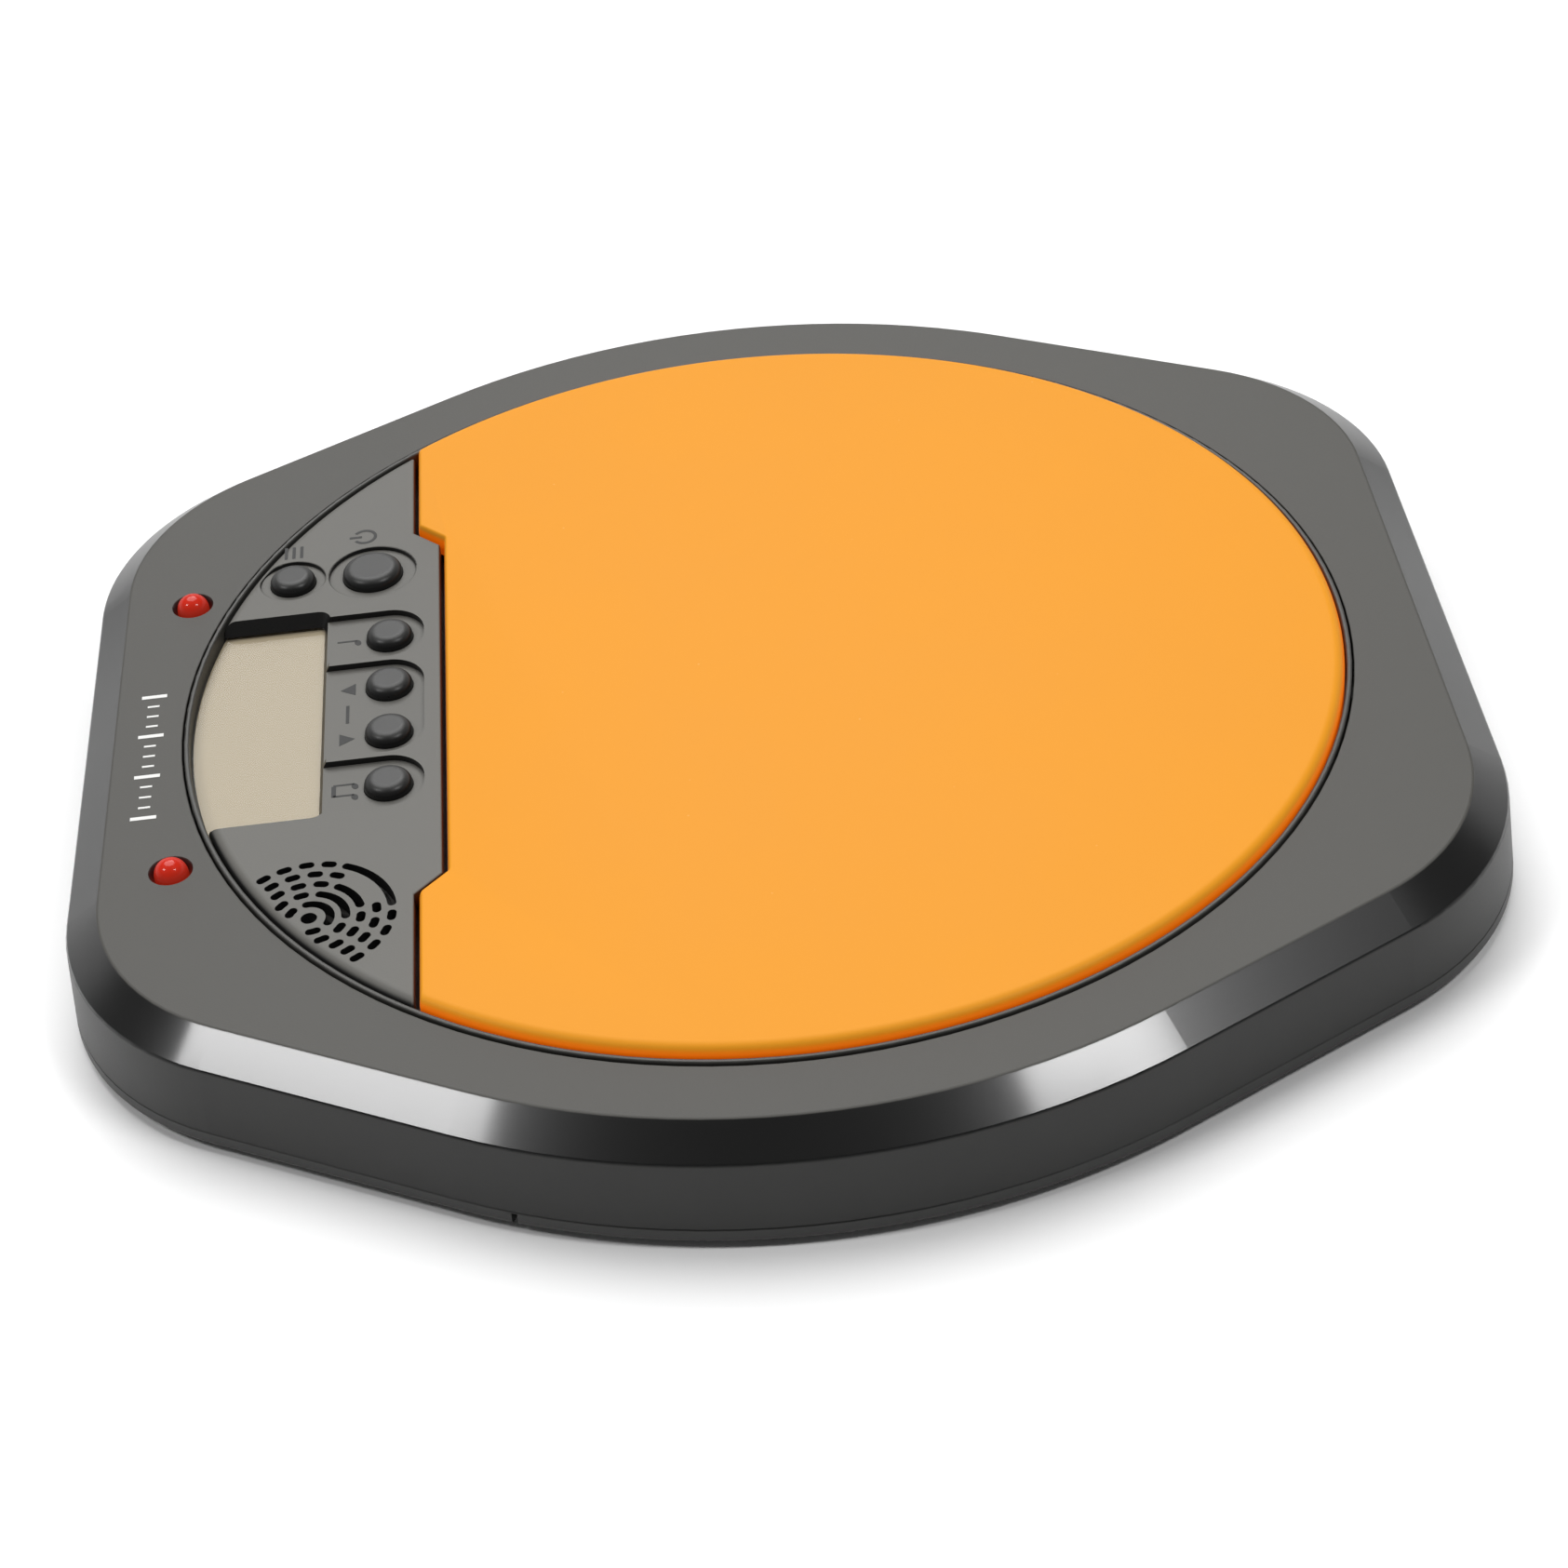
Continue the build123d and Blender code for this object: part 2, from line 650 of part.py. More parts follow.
with BuildPart() as control_panel:
    with BuildSketch(Plane.XY.offset(shelf_top)):
        add(panel_plan())
    extrude(amount=panel_top - shelf_top)
    with BuildSketch(Plane.XY.offset(shelf_top)):
        add(panel_plan(panel_lip))
    extrude(amount=panel_lip_depth, mode=Mode.SUBTRACT)
    top_edges = control_panel.faces().sort_by(Axis.Z)[-1].edges()
    arc_edge = top_edges.filter_by(GeomType.CIRCLE)
    fillet(arc_edge, panel_roll)
    side_edges = control_panel.faces().sort_by(Axis.Z)[-1].edges().filter_by(GeomType.LINE)
    fillet(side_edges, side_edge_radius)
    # Display opening, with walls that slope in, open at the arc.
    opening_reach = opening_radius - display_side_y + 20
    with BuildSketch(Plane.XY.offset(panel_top)):
        with Locations((display_centre_x, display_side_y + opening_reach / 2)):
            mouth = Rectangle(2 * display_half_length, opening_reach)
        fillet(mouth.vertices().group_by(Axis.Y)[0], display_corner)
    extrude(amount=-panel_thickness, taper=display_wall_slope, mode=Mode.SUBTRACT)
    with BuildSketch(Plane.XY.offset(shelf_top)):
        with Locations((display_centre_x, display_side_y + opening_reach / 2)):
            Rectangle(2 * (display_half_length + window_margin + window_side_gap), opening_reach)
    extrude(amount=panel_lip_depth, mode=Mode.SUBTRACT)
    # Key trays under the display, and round dishes beside it.
    tray_length = display_side_y + 1.0 - tray_cut_y
    for x, half in ((row_outer_x, single_tray_half), (0, double_tray_half), (-row_outer_x, single_tray_half)):
        with BuildSketch(Plane.XY.offset(panel_top)):
            with Locations((x, tray_cut_y + tray_length / 2)):
                floor = Rectangle(2 * half, tray_length)
            fillet(floor.vertices().group_by(Axis.Y)[0], tray_corner)
        extrude(amount=-tray_cut_depth, mode=Mode.SUBTRACT)
    for y, radius in ((mode_y, mode_dish_radius), (power_y, power_dish_radius)):
        with BuildSketch(Plane.XY.offset(panel_top)):
            with Locations((column_x, y)):
                Circle(radius)
        extrude(amount=-dish_depth, mode=Mode.SUBTRACT)
    rim_circles = control_panel.edges().filter_by(GeomType.CIRCLE).filter_by_position(
        Axis.Z, panel_top - 0.01, panel_top + 0.01)
    dish_edges = [edge for edge in rim_circles if edge.radius in (mode_dish_radius, power_dish_radius)]
    fillet(dish_edges, cut_edge_radius)
    # Room for the buttons' flanges beside the downturned edge.
    for x, y, radius, _ in buttons.values():
        with BuildSketch(Plane.XY.offset(shelf_top)):
            with Locations((x, y)):
                Circle(radius + flange_width + cap_gap)
        extrude(amount=panel_lip_depth, mode=Mode.SUBTRACT)
    # Button holes.
    for x, y, radius, _ in buttons.values():
        with BuildSketch(Plane.XY.offset(panel_base)):
            with Locations((x, y)):
                Circle(radius + cap_gap)
        extrude(amount=panel_thickness, mode=Mode.SUBTRACT)
    # Screw pilots from below.
    with BuildSketch(Plane.XY.offset(shelf_top)):
        with Locations(*panel_screw_spots):
            Circle(small_screw_radius + screw_play)
    extrude(amount=panel_pilot_depth, mode=Mode.SUBTRACT)
    # Speaker grille.
    for number, (long_half, side_count) in enumerate(grille_arcs):
        with BuildSketch(Plane.XY.offset(panel_top).move(Location((grille_x, grille_y, 0)))):
            radius = grille_first_radius + number * grille_pitch
            for start, end in grille_slots(radius, long_half, side_count):
                SlotArc(Edge.make_circle(radius, start_angle=start, end_angle=end), slot_width)
            if number == 0:
                Circle(grille_hole_radius)
        extrude(amount=-panel_thickness, mode=Mode.SUBTRACT)
finish(control_panel.part, "control_panel")

# ---- Display window, film and module ------------------------------------------------------------------
window_top = panel_base - window_gap / 2
window_base = window_top - window_thickness
film_base = window_base - film_thickness
window_half = display_half_length + window_margin
window_side_y = display_side_y - window_margin + 1.0


def display_sheet(base, thickness):
    """Sheet over the display opening, cut to the arc."""
    with BuildPart() as sheet:
        with BuildSketch(Plane.XY.offset(base)):
            Circle(inlay_radius)
            with Locations((display_centre_x, window_side_y + opening_radius / 2)):
                Rectangle(2 * window_half, opening_radius, mode=Mode.INTERSECT)
        extrude(amount=thickness)
    return sheet.part


finish(display_sheet(window_base, window_thickness), "display_window")
finish(display_sheet(film_base, film_thickness), "display_film")

with BuildPart() as display_module:
    with BuildSketch(Plane.XY.offset(board_top)):
        Circle(seat_inner - module_gap)
        with Locations((display_centre_x, display_side_y + module_margin + opening_radius / 2)):
            Rectangle(2 * (display_half_length - module_margin), opening_radius, mode=Mode.INTERSECT)
    extrude(amount=film_base - module_gap - board_top)
finish(display_module.part, "display_module")

# ---- Buttons -----------------------------------------------------------------------------------
flange_top = panel_base - flange_gap
stem_base = board_top + switch_body + switch_plunger + switch_gap + button_travel


def push_button(x, y, radius, floor_depth):
    """Domed cap, retaining flange under the panel and a stem over its switch."""
    cap_top = panel_top - floor_depth + cap_height
    with BuildPart() as button:
        with BuildSketch(Plane.XY.offset(flange_top - flange_thickness)):
            with Locations((x, y)):
                Circle(radius + flange_width)
        extrude(amount=flange_thickness)
        with BuildSketch(Plane.XY.offset(flange_top)):
            with Locations((x, y)):
                Circle(radius)
        extrude(amount=cap_top - flange_top)
        fillet(button.faces().sort_by(Axis.Z)[-1].edges(), cap_edge_radius)
        with BuildSketch(Plane.XY.offset(stem_base)):
            with Locations((x, y)):
                Circle(stem_radius)
        extrude(amount=flange_top - flange_thickness - stem_base)
    return button.part


for name, (x, y, radius, floor_depth) in buttons.items():
    finish(push_button(x, y, radius, floor_depth), name)

# ---- Main board and tact switches -----------------------------------------------------------------
with BuildPart() as main_board:
    with BuildSketch(Plane.XY.offset(board_base)):
        Circle(seat_inner - board_edge_gap)
        with Locations(((board_left_x + board_right_x) / 2, board_side_y + opening_radius / 2)):
            Rectangle(board_right_x - board_left_x, opening_radius, mode=Mode.INTERSECT)
        with Locations(*board_screws_at):
            Circle(small_screw_radius + 0.2, mode=Mode.SUBTRACT)
    extrude(amount=board_thickness)
finish(main_board.part, "main_board")

with BuildPart() as tact_switches:
    spots = [(x, y) for x, y, _, _ in buttons.values()]
    with BuildSketch(Plane.XY.offset(board_top)):
        with Locations(*spots):
            Rectangle(switch_side, switch_side)
    extrude(amount=switch_body)
    with BuildSketch(Plane.XY.offset(board_top + switch_body)):
        with Locations(*spots):
            Circle(plunger_radius)
    extrude(amount=switch_plunger)
finish(tact_switches.part, "tact_switches")

# ---- Speaker: steel frame, paper cone, magnet -----------------------------------------------------
speaker_top = panel_base - 0.1
speaker_base = speaker_top - speaker_depth
magnet_height = 2.6
speaker_plane = Plane.XY.move(Location((speaker_x, speaker_y, 0)))

with BuildPart() as speaker_frame:
    with BuildSketch(speaker_plane.offset(speaker_base + magnet_height)):
        Circle(magnet_radius + 0.6)
    with BuildSketch(speaker_plane.offset(speaker_top - speaker_flange)):
        Circle(speaker_radius - 0.8)
    loft()
    with BuildSketch(speaker_plane.offset(speaker_top - speaker_flange)):
        Circle(speaker_radius)
    extrude(amount=speaker_flange)
    with BuildSketch(speaker_plane.offset(speaker_base + magnet_height + speaker_wall)):
        Circle(magnet_radius - 0.2)
    with BuildSketch(speaker_plane.offset(speaker_top)):
        Circle(speaker_radius - 1.6)
    loft(mode=Mode.SUBTRACT)
finish(speaker_frame.part, "speaker_frame")

with BuildPart() as speaker_magnet:
    with BuildSketch(speaker_plane.offset(speaker_base)):
        Circle(magnet_radius)
    extrude(amount=magnet_height)
    fillet(speaker_magnet.faces().sort_by(Axis.Z)[0].edges(), 0.4)
finish(speaker_magnet.part, "speaker_magnet")

with BuildPart() as speaker_cone:
    with BuildSketch(speaker_plane.offset(speaker_base + magnet_height + speaker_wall + 0.2)):
        Circle(magnet_radius - 3.2)
    with BuildSketch(speaker_plane.offset(speaker_top - 0.9)):
        Circle(speaker_radius - 2.6)
    loft()
    with BuildSketch(speaker_plane.offset(speaker_base + magnet_height + speaker_wall + 0.6)):
        Circle(magnet_radius - 3.4)
    with BuildSketch(speaker_plane.offset(speaker_top - 0.9)):
        Circle(speaker_radius - 3.2)
    loft(mode=Mode.SUBTRACT)
finish(speaker_cone.part, "speaker_cone")

# ---- LEDs and their boards -----------------------------------------------------------------------
for side, (x, y) in led_spots.items():
    with BuildPart() as led:
        with BuildSketch(Plane.XY.offset(led_base)):
            with Locations((x, y)):
                Circle(led_radius + led_flange)
        extrude(amount=1.0)
        with BuildSketch(Plane.XY.offset(led_base)):
            with Locations((x, y)):
                Circle(led_radius)
        extrude(amount=led_body)
        with Locations((x, y, led_centre_z)):
            Sphere(led_radius)
    finish(led.part, f"led_{side}")
    with BuildPart() as led_board:
        with BuildSketch(Plane.XY.offset(led_base - led_board_thickness)):
            with Locations((x, y)):
                Rectangle(led_board_x, led_board_y)
        extrude(amount=led_board_thickness)
    finish(led_board.part, f"led_board_{side}")

# ---- Rubber feet -------------------------------------------------------------------------------
for name, (x, y) in foot_spots.items():
    with BuildPart() as foot:
        with BuildSketch():
            with Locations((x, y)):
                Circle(foot_radius)
        extrude(amount=foot_height + foot_recess)
        chamfer(foot.faces().sort_by(Axis.Z)[0].edges(), 0.6)
    finish(foot.part, name)

# ---- Battery door --------------------------------------------------------------------------------
door_top = case_bottom + door_thickness
hook_base = floor_top + hook_lift
door_front_y = battery_front_y + door_gap

with BuildPart() as battery_door:
    with BuildSketch(Plane.XY.offset(case_bottom)):
        with Locations((0, battery_y)):
            Rectangle(battery_length - 2 * door_gap, battery_width - 2 * door_gap)
    extrude(amount=door_thickness)
    # Necks and hooks at the front edge, which tilt in over the floor.
    with BuildSketch(Plane.XY.offset(door_top)):
        with Locations(*[(x, door_front_y + hook_neck / 2) for x in hook_spots]):
            Rectangle(hook_width, hook_neck)
    extrude(amount=hook_base + hook_thickness - door_top)
    with BuildSketch(Plane.XY.offset(hook_base)):
        with Locations(*[(x, door_front_y - (hook_reach - hook_neck) / 2) for x in hook_spots]):
            Rectangle(hook_width, hook_reach + hook_neck)
    extrude(amount=hook_thickness)
    # Finger grip ribs and the cuts that free the catch at the rear edge.
    with BuildSketch(Plane.XY.offset(case_bottom)):
        with Locations((0, battery_y + battery_width / 2 - 8)):
            with GridLocations(1, 2.2, 1, rib_count):
                SlotOverall(18, 1.1)
    extrude(amount=0.6, mode=Mode.SUBTRACT)
    with BuildSketch(Plane.XY.offset(case_bottom)):
        with Locations((0, battery_y + battery_width / 2 - door_gap)):
            with GridLocations(catch_width + 1.0, 1, 2, 1):
                Rectangle(1.0, 6.0)
    extrude(amount=door_thickness, mode=Mode.SUBTRACT)
finish(battery_door.part, "battery_door")

# ---- AAA cells, contact plates and springs ----------------------------------------------------------
cell_z = cell_base + cell_diameter / 2
cell_rows = [battery_y + (count - (cell_count - 1) / 2) * (cell_diameter + cell_gap)
             for count in range(cell_count)]
cell_start = -battery_length / 2 + contact_thickness + spring_length
row_sides = [1 if count % 2 == 0 else -1 for count in range(cell_count)]

for count, (y, side) in enumerate(zip(cell_rows, row_sides)):
    with BuildPart() as cell:
        with BuildSketch(Plane((side * cell_start, y, cell_z), x_dir=(0, 1, 0), z_dir=(side, 0, 0))):
            Circle(cell_diameter / 2)
        extrude(amount=cell_length - nub_height)
        fillet(cell.edges(), 0.5)
        with BuildSketch(Plane((side * (cell_start + cell_length - nub_height), y, cell_z),
                               x_dir=(0, 1, 0), z_dir=(side, 0, 0))):
            Circle(nub_radius)
        extrude(amount=nub_height)
    finish(cell.part, f"cell_{count + 1}")

with BuildPart() as contact_plates:
    for side in (-1, 1):
        for y in cell_rows:
            x = side * (battery_length - contact_thickness) / 2
            with Locations((x, y, cell_z)):
                Box(contact_thickness, contact_side, contact_side)
finish(contact_plates.part, "contact_plates")

with BuildPart() as contact_springs:
    for y, side in zip(cell_rows, row_sides):
        x = -side * (battery_length / 2 - contact_thickness - spring_wire / 2)
        coil_height = spring_length - spring_wire - 0.3
        path = Helix(coil_height / spring_turns, coil_height, spring_base_radius,
                     center=(x, y, cell_z), direction=(side, 0, 0), cone_angle=0, mode=Mode.PRIVATE)
        with BuildSketch(Plane(path @ 0, z_dir=path % 0)):
            Circle(spring_wire / 2)
        sweep(path=path, is_frenet=True)
finish(contact_springs.part, "contact_springs")


# ---- Screws --------------------------------------------------------------------------------------
def screws(spots, head_base, head_radius, head_height, shank_radius, shank_length, up=1):
    """Group of pan-head screws with their heads at one height, pointing up or down."""
    with BuildPart() as group:
        with BuildSketch(Plane.XY.offset(head_base)):
            with Locations(*spots):
                Circle(head_radius)
        extrude(amount=up * head_height)
        heads = group.faces().filter_by(Plane.XY).group_by(Axis.Z)[0 if up > 0 else -1]
        fillet(heads.edges(), head_height * head_round)
        with BuildSketch(Plane.XY.offset(head_base)):
            with Locations(*spots):
                RegularPolygon(head_radius * socket_width, 6)
        extrude(amount=up * head_height * socket_depth, mode=Mode.SUBTRACT)
        with BuildSketch(Plane.XY.offset(head_base + up * head_height)):
            with Locations(*spots):
                Circle(shank_radius)
        extrude(amount=up * shank_length)
    return group.part


case_head_height = 2.0
finish(screws(case_screw_spots, head_shelf - case_head_height, case_screw_head, case_head_height,
              case_screw_radius, lower_boss_top - head_shelf + case_screw_bite), "case_screws")
finish(screws(tray_screw_spots, seat_base - small_head_height, small_screw_head, small_head_height,
              small_screw_radius, seat_thickness + tray_screw_bite - 0.2), "tray_screws")
finish(screws(panel_screw_spots, tray_base + head_sink, small_screw_head, small_head_height,
              small_screw_radius, shelf_top - tray_base - small_head_height + panel_screw_bite), "panel_screws")
finish(screws(board_screws_at, board_top + small_head_height, small_screw_head, small_head_height,
              small_screw_radius, board_thickness + board_screw_bite, up=-1), "board_screws")

# ---- Jack board, phones jack and power jack ----------------------------------------------------------
jack_screw_x = (jack_board_width - 8) / 2
jack_body_front = jack_board_edge - 0.5
nose_end = end_reach + flare_at(socket_z) - 0.4

with BuildPart() as jack_board:
    with BuildSketch(Plane.XY.offset(jack_board_top - board_thickness)):
        with Locations((0, jack_board_y)):
            Rectangle(jack_board_width, jack_board_depth)
            with GridLocations(jack_board_width - 8, jack_board_depth - 7, 2, 1):
                Circle(small_screw_radius + 0.2, mode=Mode.SUBTRACT)
    extrude(amount=board_thickness)
finish(jack_board.part, "jack_board")
finish(screws([(-jack_screw_x, jack_board_y), (jack_screw_x, jack_board_y)],
              jack_board_top + small_head_height, small_screw_head, small_head_height,
              small_screw_radius, board_thickness + 2.2, up=-1), "jack_board_screws")


def jack(x, half_width, height, nose_radius, bore_radius, bore_depth, pin_radius=0.0):
    """Socket body on the jack board with a round nose through the rear wall, and a pin if it has one."""
    body_depth = jack_board_depth - 1.5
    mouth = Plane((x, nose_end, socket_z), x_dir=(1, 0, 0), z_dir=(0, 1, 0))
    with BuildPart() as socket:
        with Locations((x, jack_body_front - body_depth / 2, jack_board_top)):
            Box(2 * half_width, body_depth, height, align=(Align.CENTER, Align.CENTER, Align.MIN))
        with BuildSketch(mouth):
            Circle(nose_radius)
        extrude(amount=jack_body_front - nose_end - 1.0)
        chamfer(socket.faces().sort_by(Axis.Y)[-1].edges(), 0.3)
        with BuildSketch(mouth):
            Circle(bore_radius)
        extrude(amount=-bore_depth, mode=Mode.SUBTRACT)
        if pin_radius:
            with BuildSketch(mouth.offset(-bore_depth)):
                Circle(pin_radius)
            extrude(amount=bore_depth - 1.5)
    return socket.part


finish(jack(-socket_x, phones_half_width, phones_height, phones_nose, phones_bore, phones_depth), "phones_jack")
finish(jack(socket_x, power_half_width, power_height, power_nose, power_bore, power_depth, power_pin), "power_jack")

# ---- Stand insert ----------------------------------------------------------------------------------
with BuildPart() as stand_insert:
    with BuildSketch(Plane.XY.offset(case_bottom)):
        Circle(insert_radius - 0.02)
        Circle(insert_bore, mode=Mode.SUBTRACT)
    extrude(amount=insert_length)
finish(stand_insert.part, "stand_insert")


# ---- Leads -----------------------------------------------------------------------------------------
def lead(name, points, bend):
    """Two-core lead: straight runs joined by tangent arcs."""
    with BuildPart() as cable:
        with BuildLine() as route:
            FilletPolyline(*points, radius=bend)
        with BuildSketch(Plane(route.line @ 0, z_dir=route.line % 0)):
            Circle(lead_radius)
        sweep()
    finish(cable.part, name)


lead_level = board_base - 3.4
battery_rear_y = battery_y + battery_width / 2 + battery_wall
lead("sensor_lead", [(0, piezo_y, piezo_base), (0, piezo_y, lead_level), (14, piezo_y + 5, lead_level),
                     (14, board_side_y - 20, lead_level), (8, board_side_y + 6, lead_level),
                     (8, board_side_y + 6, board_base)], 3.0)
lead("battery_lead", [(-20, battery_rear_y, 9), (-20, battery_rear_y + 14, 9), (-22, 10, 9),
                      (-20, board_side_y - 12, lead_level), (-20, board_side_y + 8, lead_level),
                      (-20, board_side_y + 8, board_base)], 3.0)
lead("speaker_lead", [(speaker_x, speaker_y, speaker_base), (speaker_x, speaker_y, lead_level),
                      (board_left_x + 5, board_side_y + 12, lead_level),
                      (board_left_x + 5, board_side_y + 12, board_base)], 2.0)
lead("jack_lead", [(0, jack_board_y - 4, jack_board_top), (0, jack_board_y - 4, lead_level + 0.2),
                   (0, seat_inner - 9, lead_level + 0.2), (0, seat_inner - 9, board_base)], 1.2)
for side, (x, y) in led_spots.items():
    sign = 1 if side == "right" else -1
    lead(f"led_lead_{side}", [(x, y, led_base - led_board_thickness), (x, y, lead_level),
                              (sign * 46, outer_side_y + 24, lead_level),
                              (sign * 38, outer_side_y + 19, lead_level),
                              (sign * 38, outer_side_y + 19, board_base)], 2.0)
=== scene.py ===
"""Looks of an electronic practice pad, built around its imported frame: metres, +Z up, +Y towards the panel."""

import logging
import math
from dataclasses import dataclass, field
from enum import Enum
from typing import Callable

import bmesh
import bpy
from mathutils import Matrix, Vector


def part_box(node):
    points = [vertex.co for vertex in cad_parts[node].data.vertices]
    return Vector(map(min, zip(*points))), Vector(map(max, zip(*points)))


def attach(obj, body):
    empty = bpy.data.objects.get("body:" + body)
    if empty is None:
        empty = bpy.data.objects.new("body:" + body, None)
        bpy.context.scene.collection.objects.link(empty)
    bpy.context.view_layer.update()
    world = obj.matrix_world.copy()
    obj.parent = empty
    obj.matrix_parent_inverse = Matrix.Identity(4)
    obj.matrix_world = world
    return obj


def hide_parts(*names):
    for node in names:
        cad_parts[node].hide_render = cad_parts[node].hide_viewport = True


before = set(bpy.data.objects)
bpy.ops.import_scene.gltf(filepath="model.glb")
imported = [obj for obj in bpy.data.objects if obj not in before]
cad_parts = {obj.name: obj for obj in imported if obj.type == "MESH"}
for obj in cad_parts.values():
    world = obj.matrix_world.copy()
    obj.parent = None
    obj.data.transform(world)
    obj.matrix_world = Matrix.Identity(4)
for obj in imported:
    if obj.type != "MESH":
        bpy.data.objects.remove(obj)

log = logging.getLogger("practice_pad")
MM = 0.001
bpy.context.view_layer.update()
ROOT_BODY = "casing"

Colour = tuple[float, float, float]
Point = tuple[float, float]
Ring = list[Point]


class Signal:
    """A number, colour or vector that runs through a material, with arithmetic on numbers."""

    def __init__(self, shading: "Shading", socket: bpy.types.NodeSocket) -> None:
        """Wraps one output socket."""
        self.shading = shading
        self.socket = socket

    def _maths(self, operation: str, first: object, second: object = None) -> "Signal":
        """Adds one Math node.

        Args:
            operation: The node's operation.
            first: Its first value.
            second: Its second value, if it has one.

        Returns:
            The node's result.
        """
        values = {0: first} if second is None else {0: first, 1: second}
        return self.shading.out("ShaderNodeMath", {"operation": operation}, values)

    def __add__(self, other: "Signal | float") -> "Signal":
        """Sum."""
        return self._maths("ADD", self, other)

    def __radd__(self, other: "Signal | float") -> "Signal":
        """Reflected sum."""
        return self._maths("ADD", other, self)

    def __sub__(self, other: "Signal | float") -> "Signal":
        """Difference."""
        return self._maths("SUBTRACT", self, other)

    def __rsub__(self, other: "Signal | float") -> "Signal":
        """Reflected difference."""
        return self._maths("SUBTRACT", other, self)

    def __mul__(self, other: "Signal | float") -> "Signal":
        """Product."""
        return self._maths("MULTIPLY", self, other)

    def __rmul__(self, other: "Signal | float") -> "Signal":
        """Reflected product."""
        return self._maths("MULTIPLY", other, self)

    def __pow__(self, other: "Signal | float") -> "Signal":
        """Power."""
        return self._maths("POWER", self, other)

    def __abs__(self) -> "Signal":
        """Absolute value."""
        return self._maths("ABSOLUTE", self)

    def wave(self) -> "Signal":
        """Sine of the value in radians."""
        return self._maths("SINE", self)

    def step(self, low: float, high: float) -> "Signal":
        """Smooth step from 0 at low to 1 at high.

        Args:
            low: Where it leaves 0.
            high: Where it reaches 1.

        Returns:
            The stepped value.
        """
        settings = {"interpolation_type": "SMOOTHSTEP"}
        return self.shading.out("ShaderNodeMapRange", settings, {"Value": self, "From Min": low, "From Max": high})


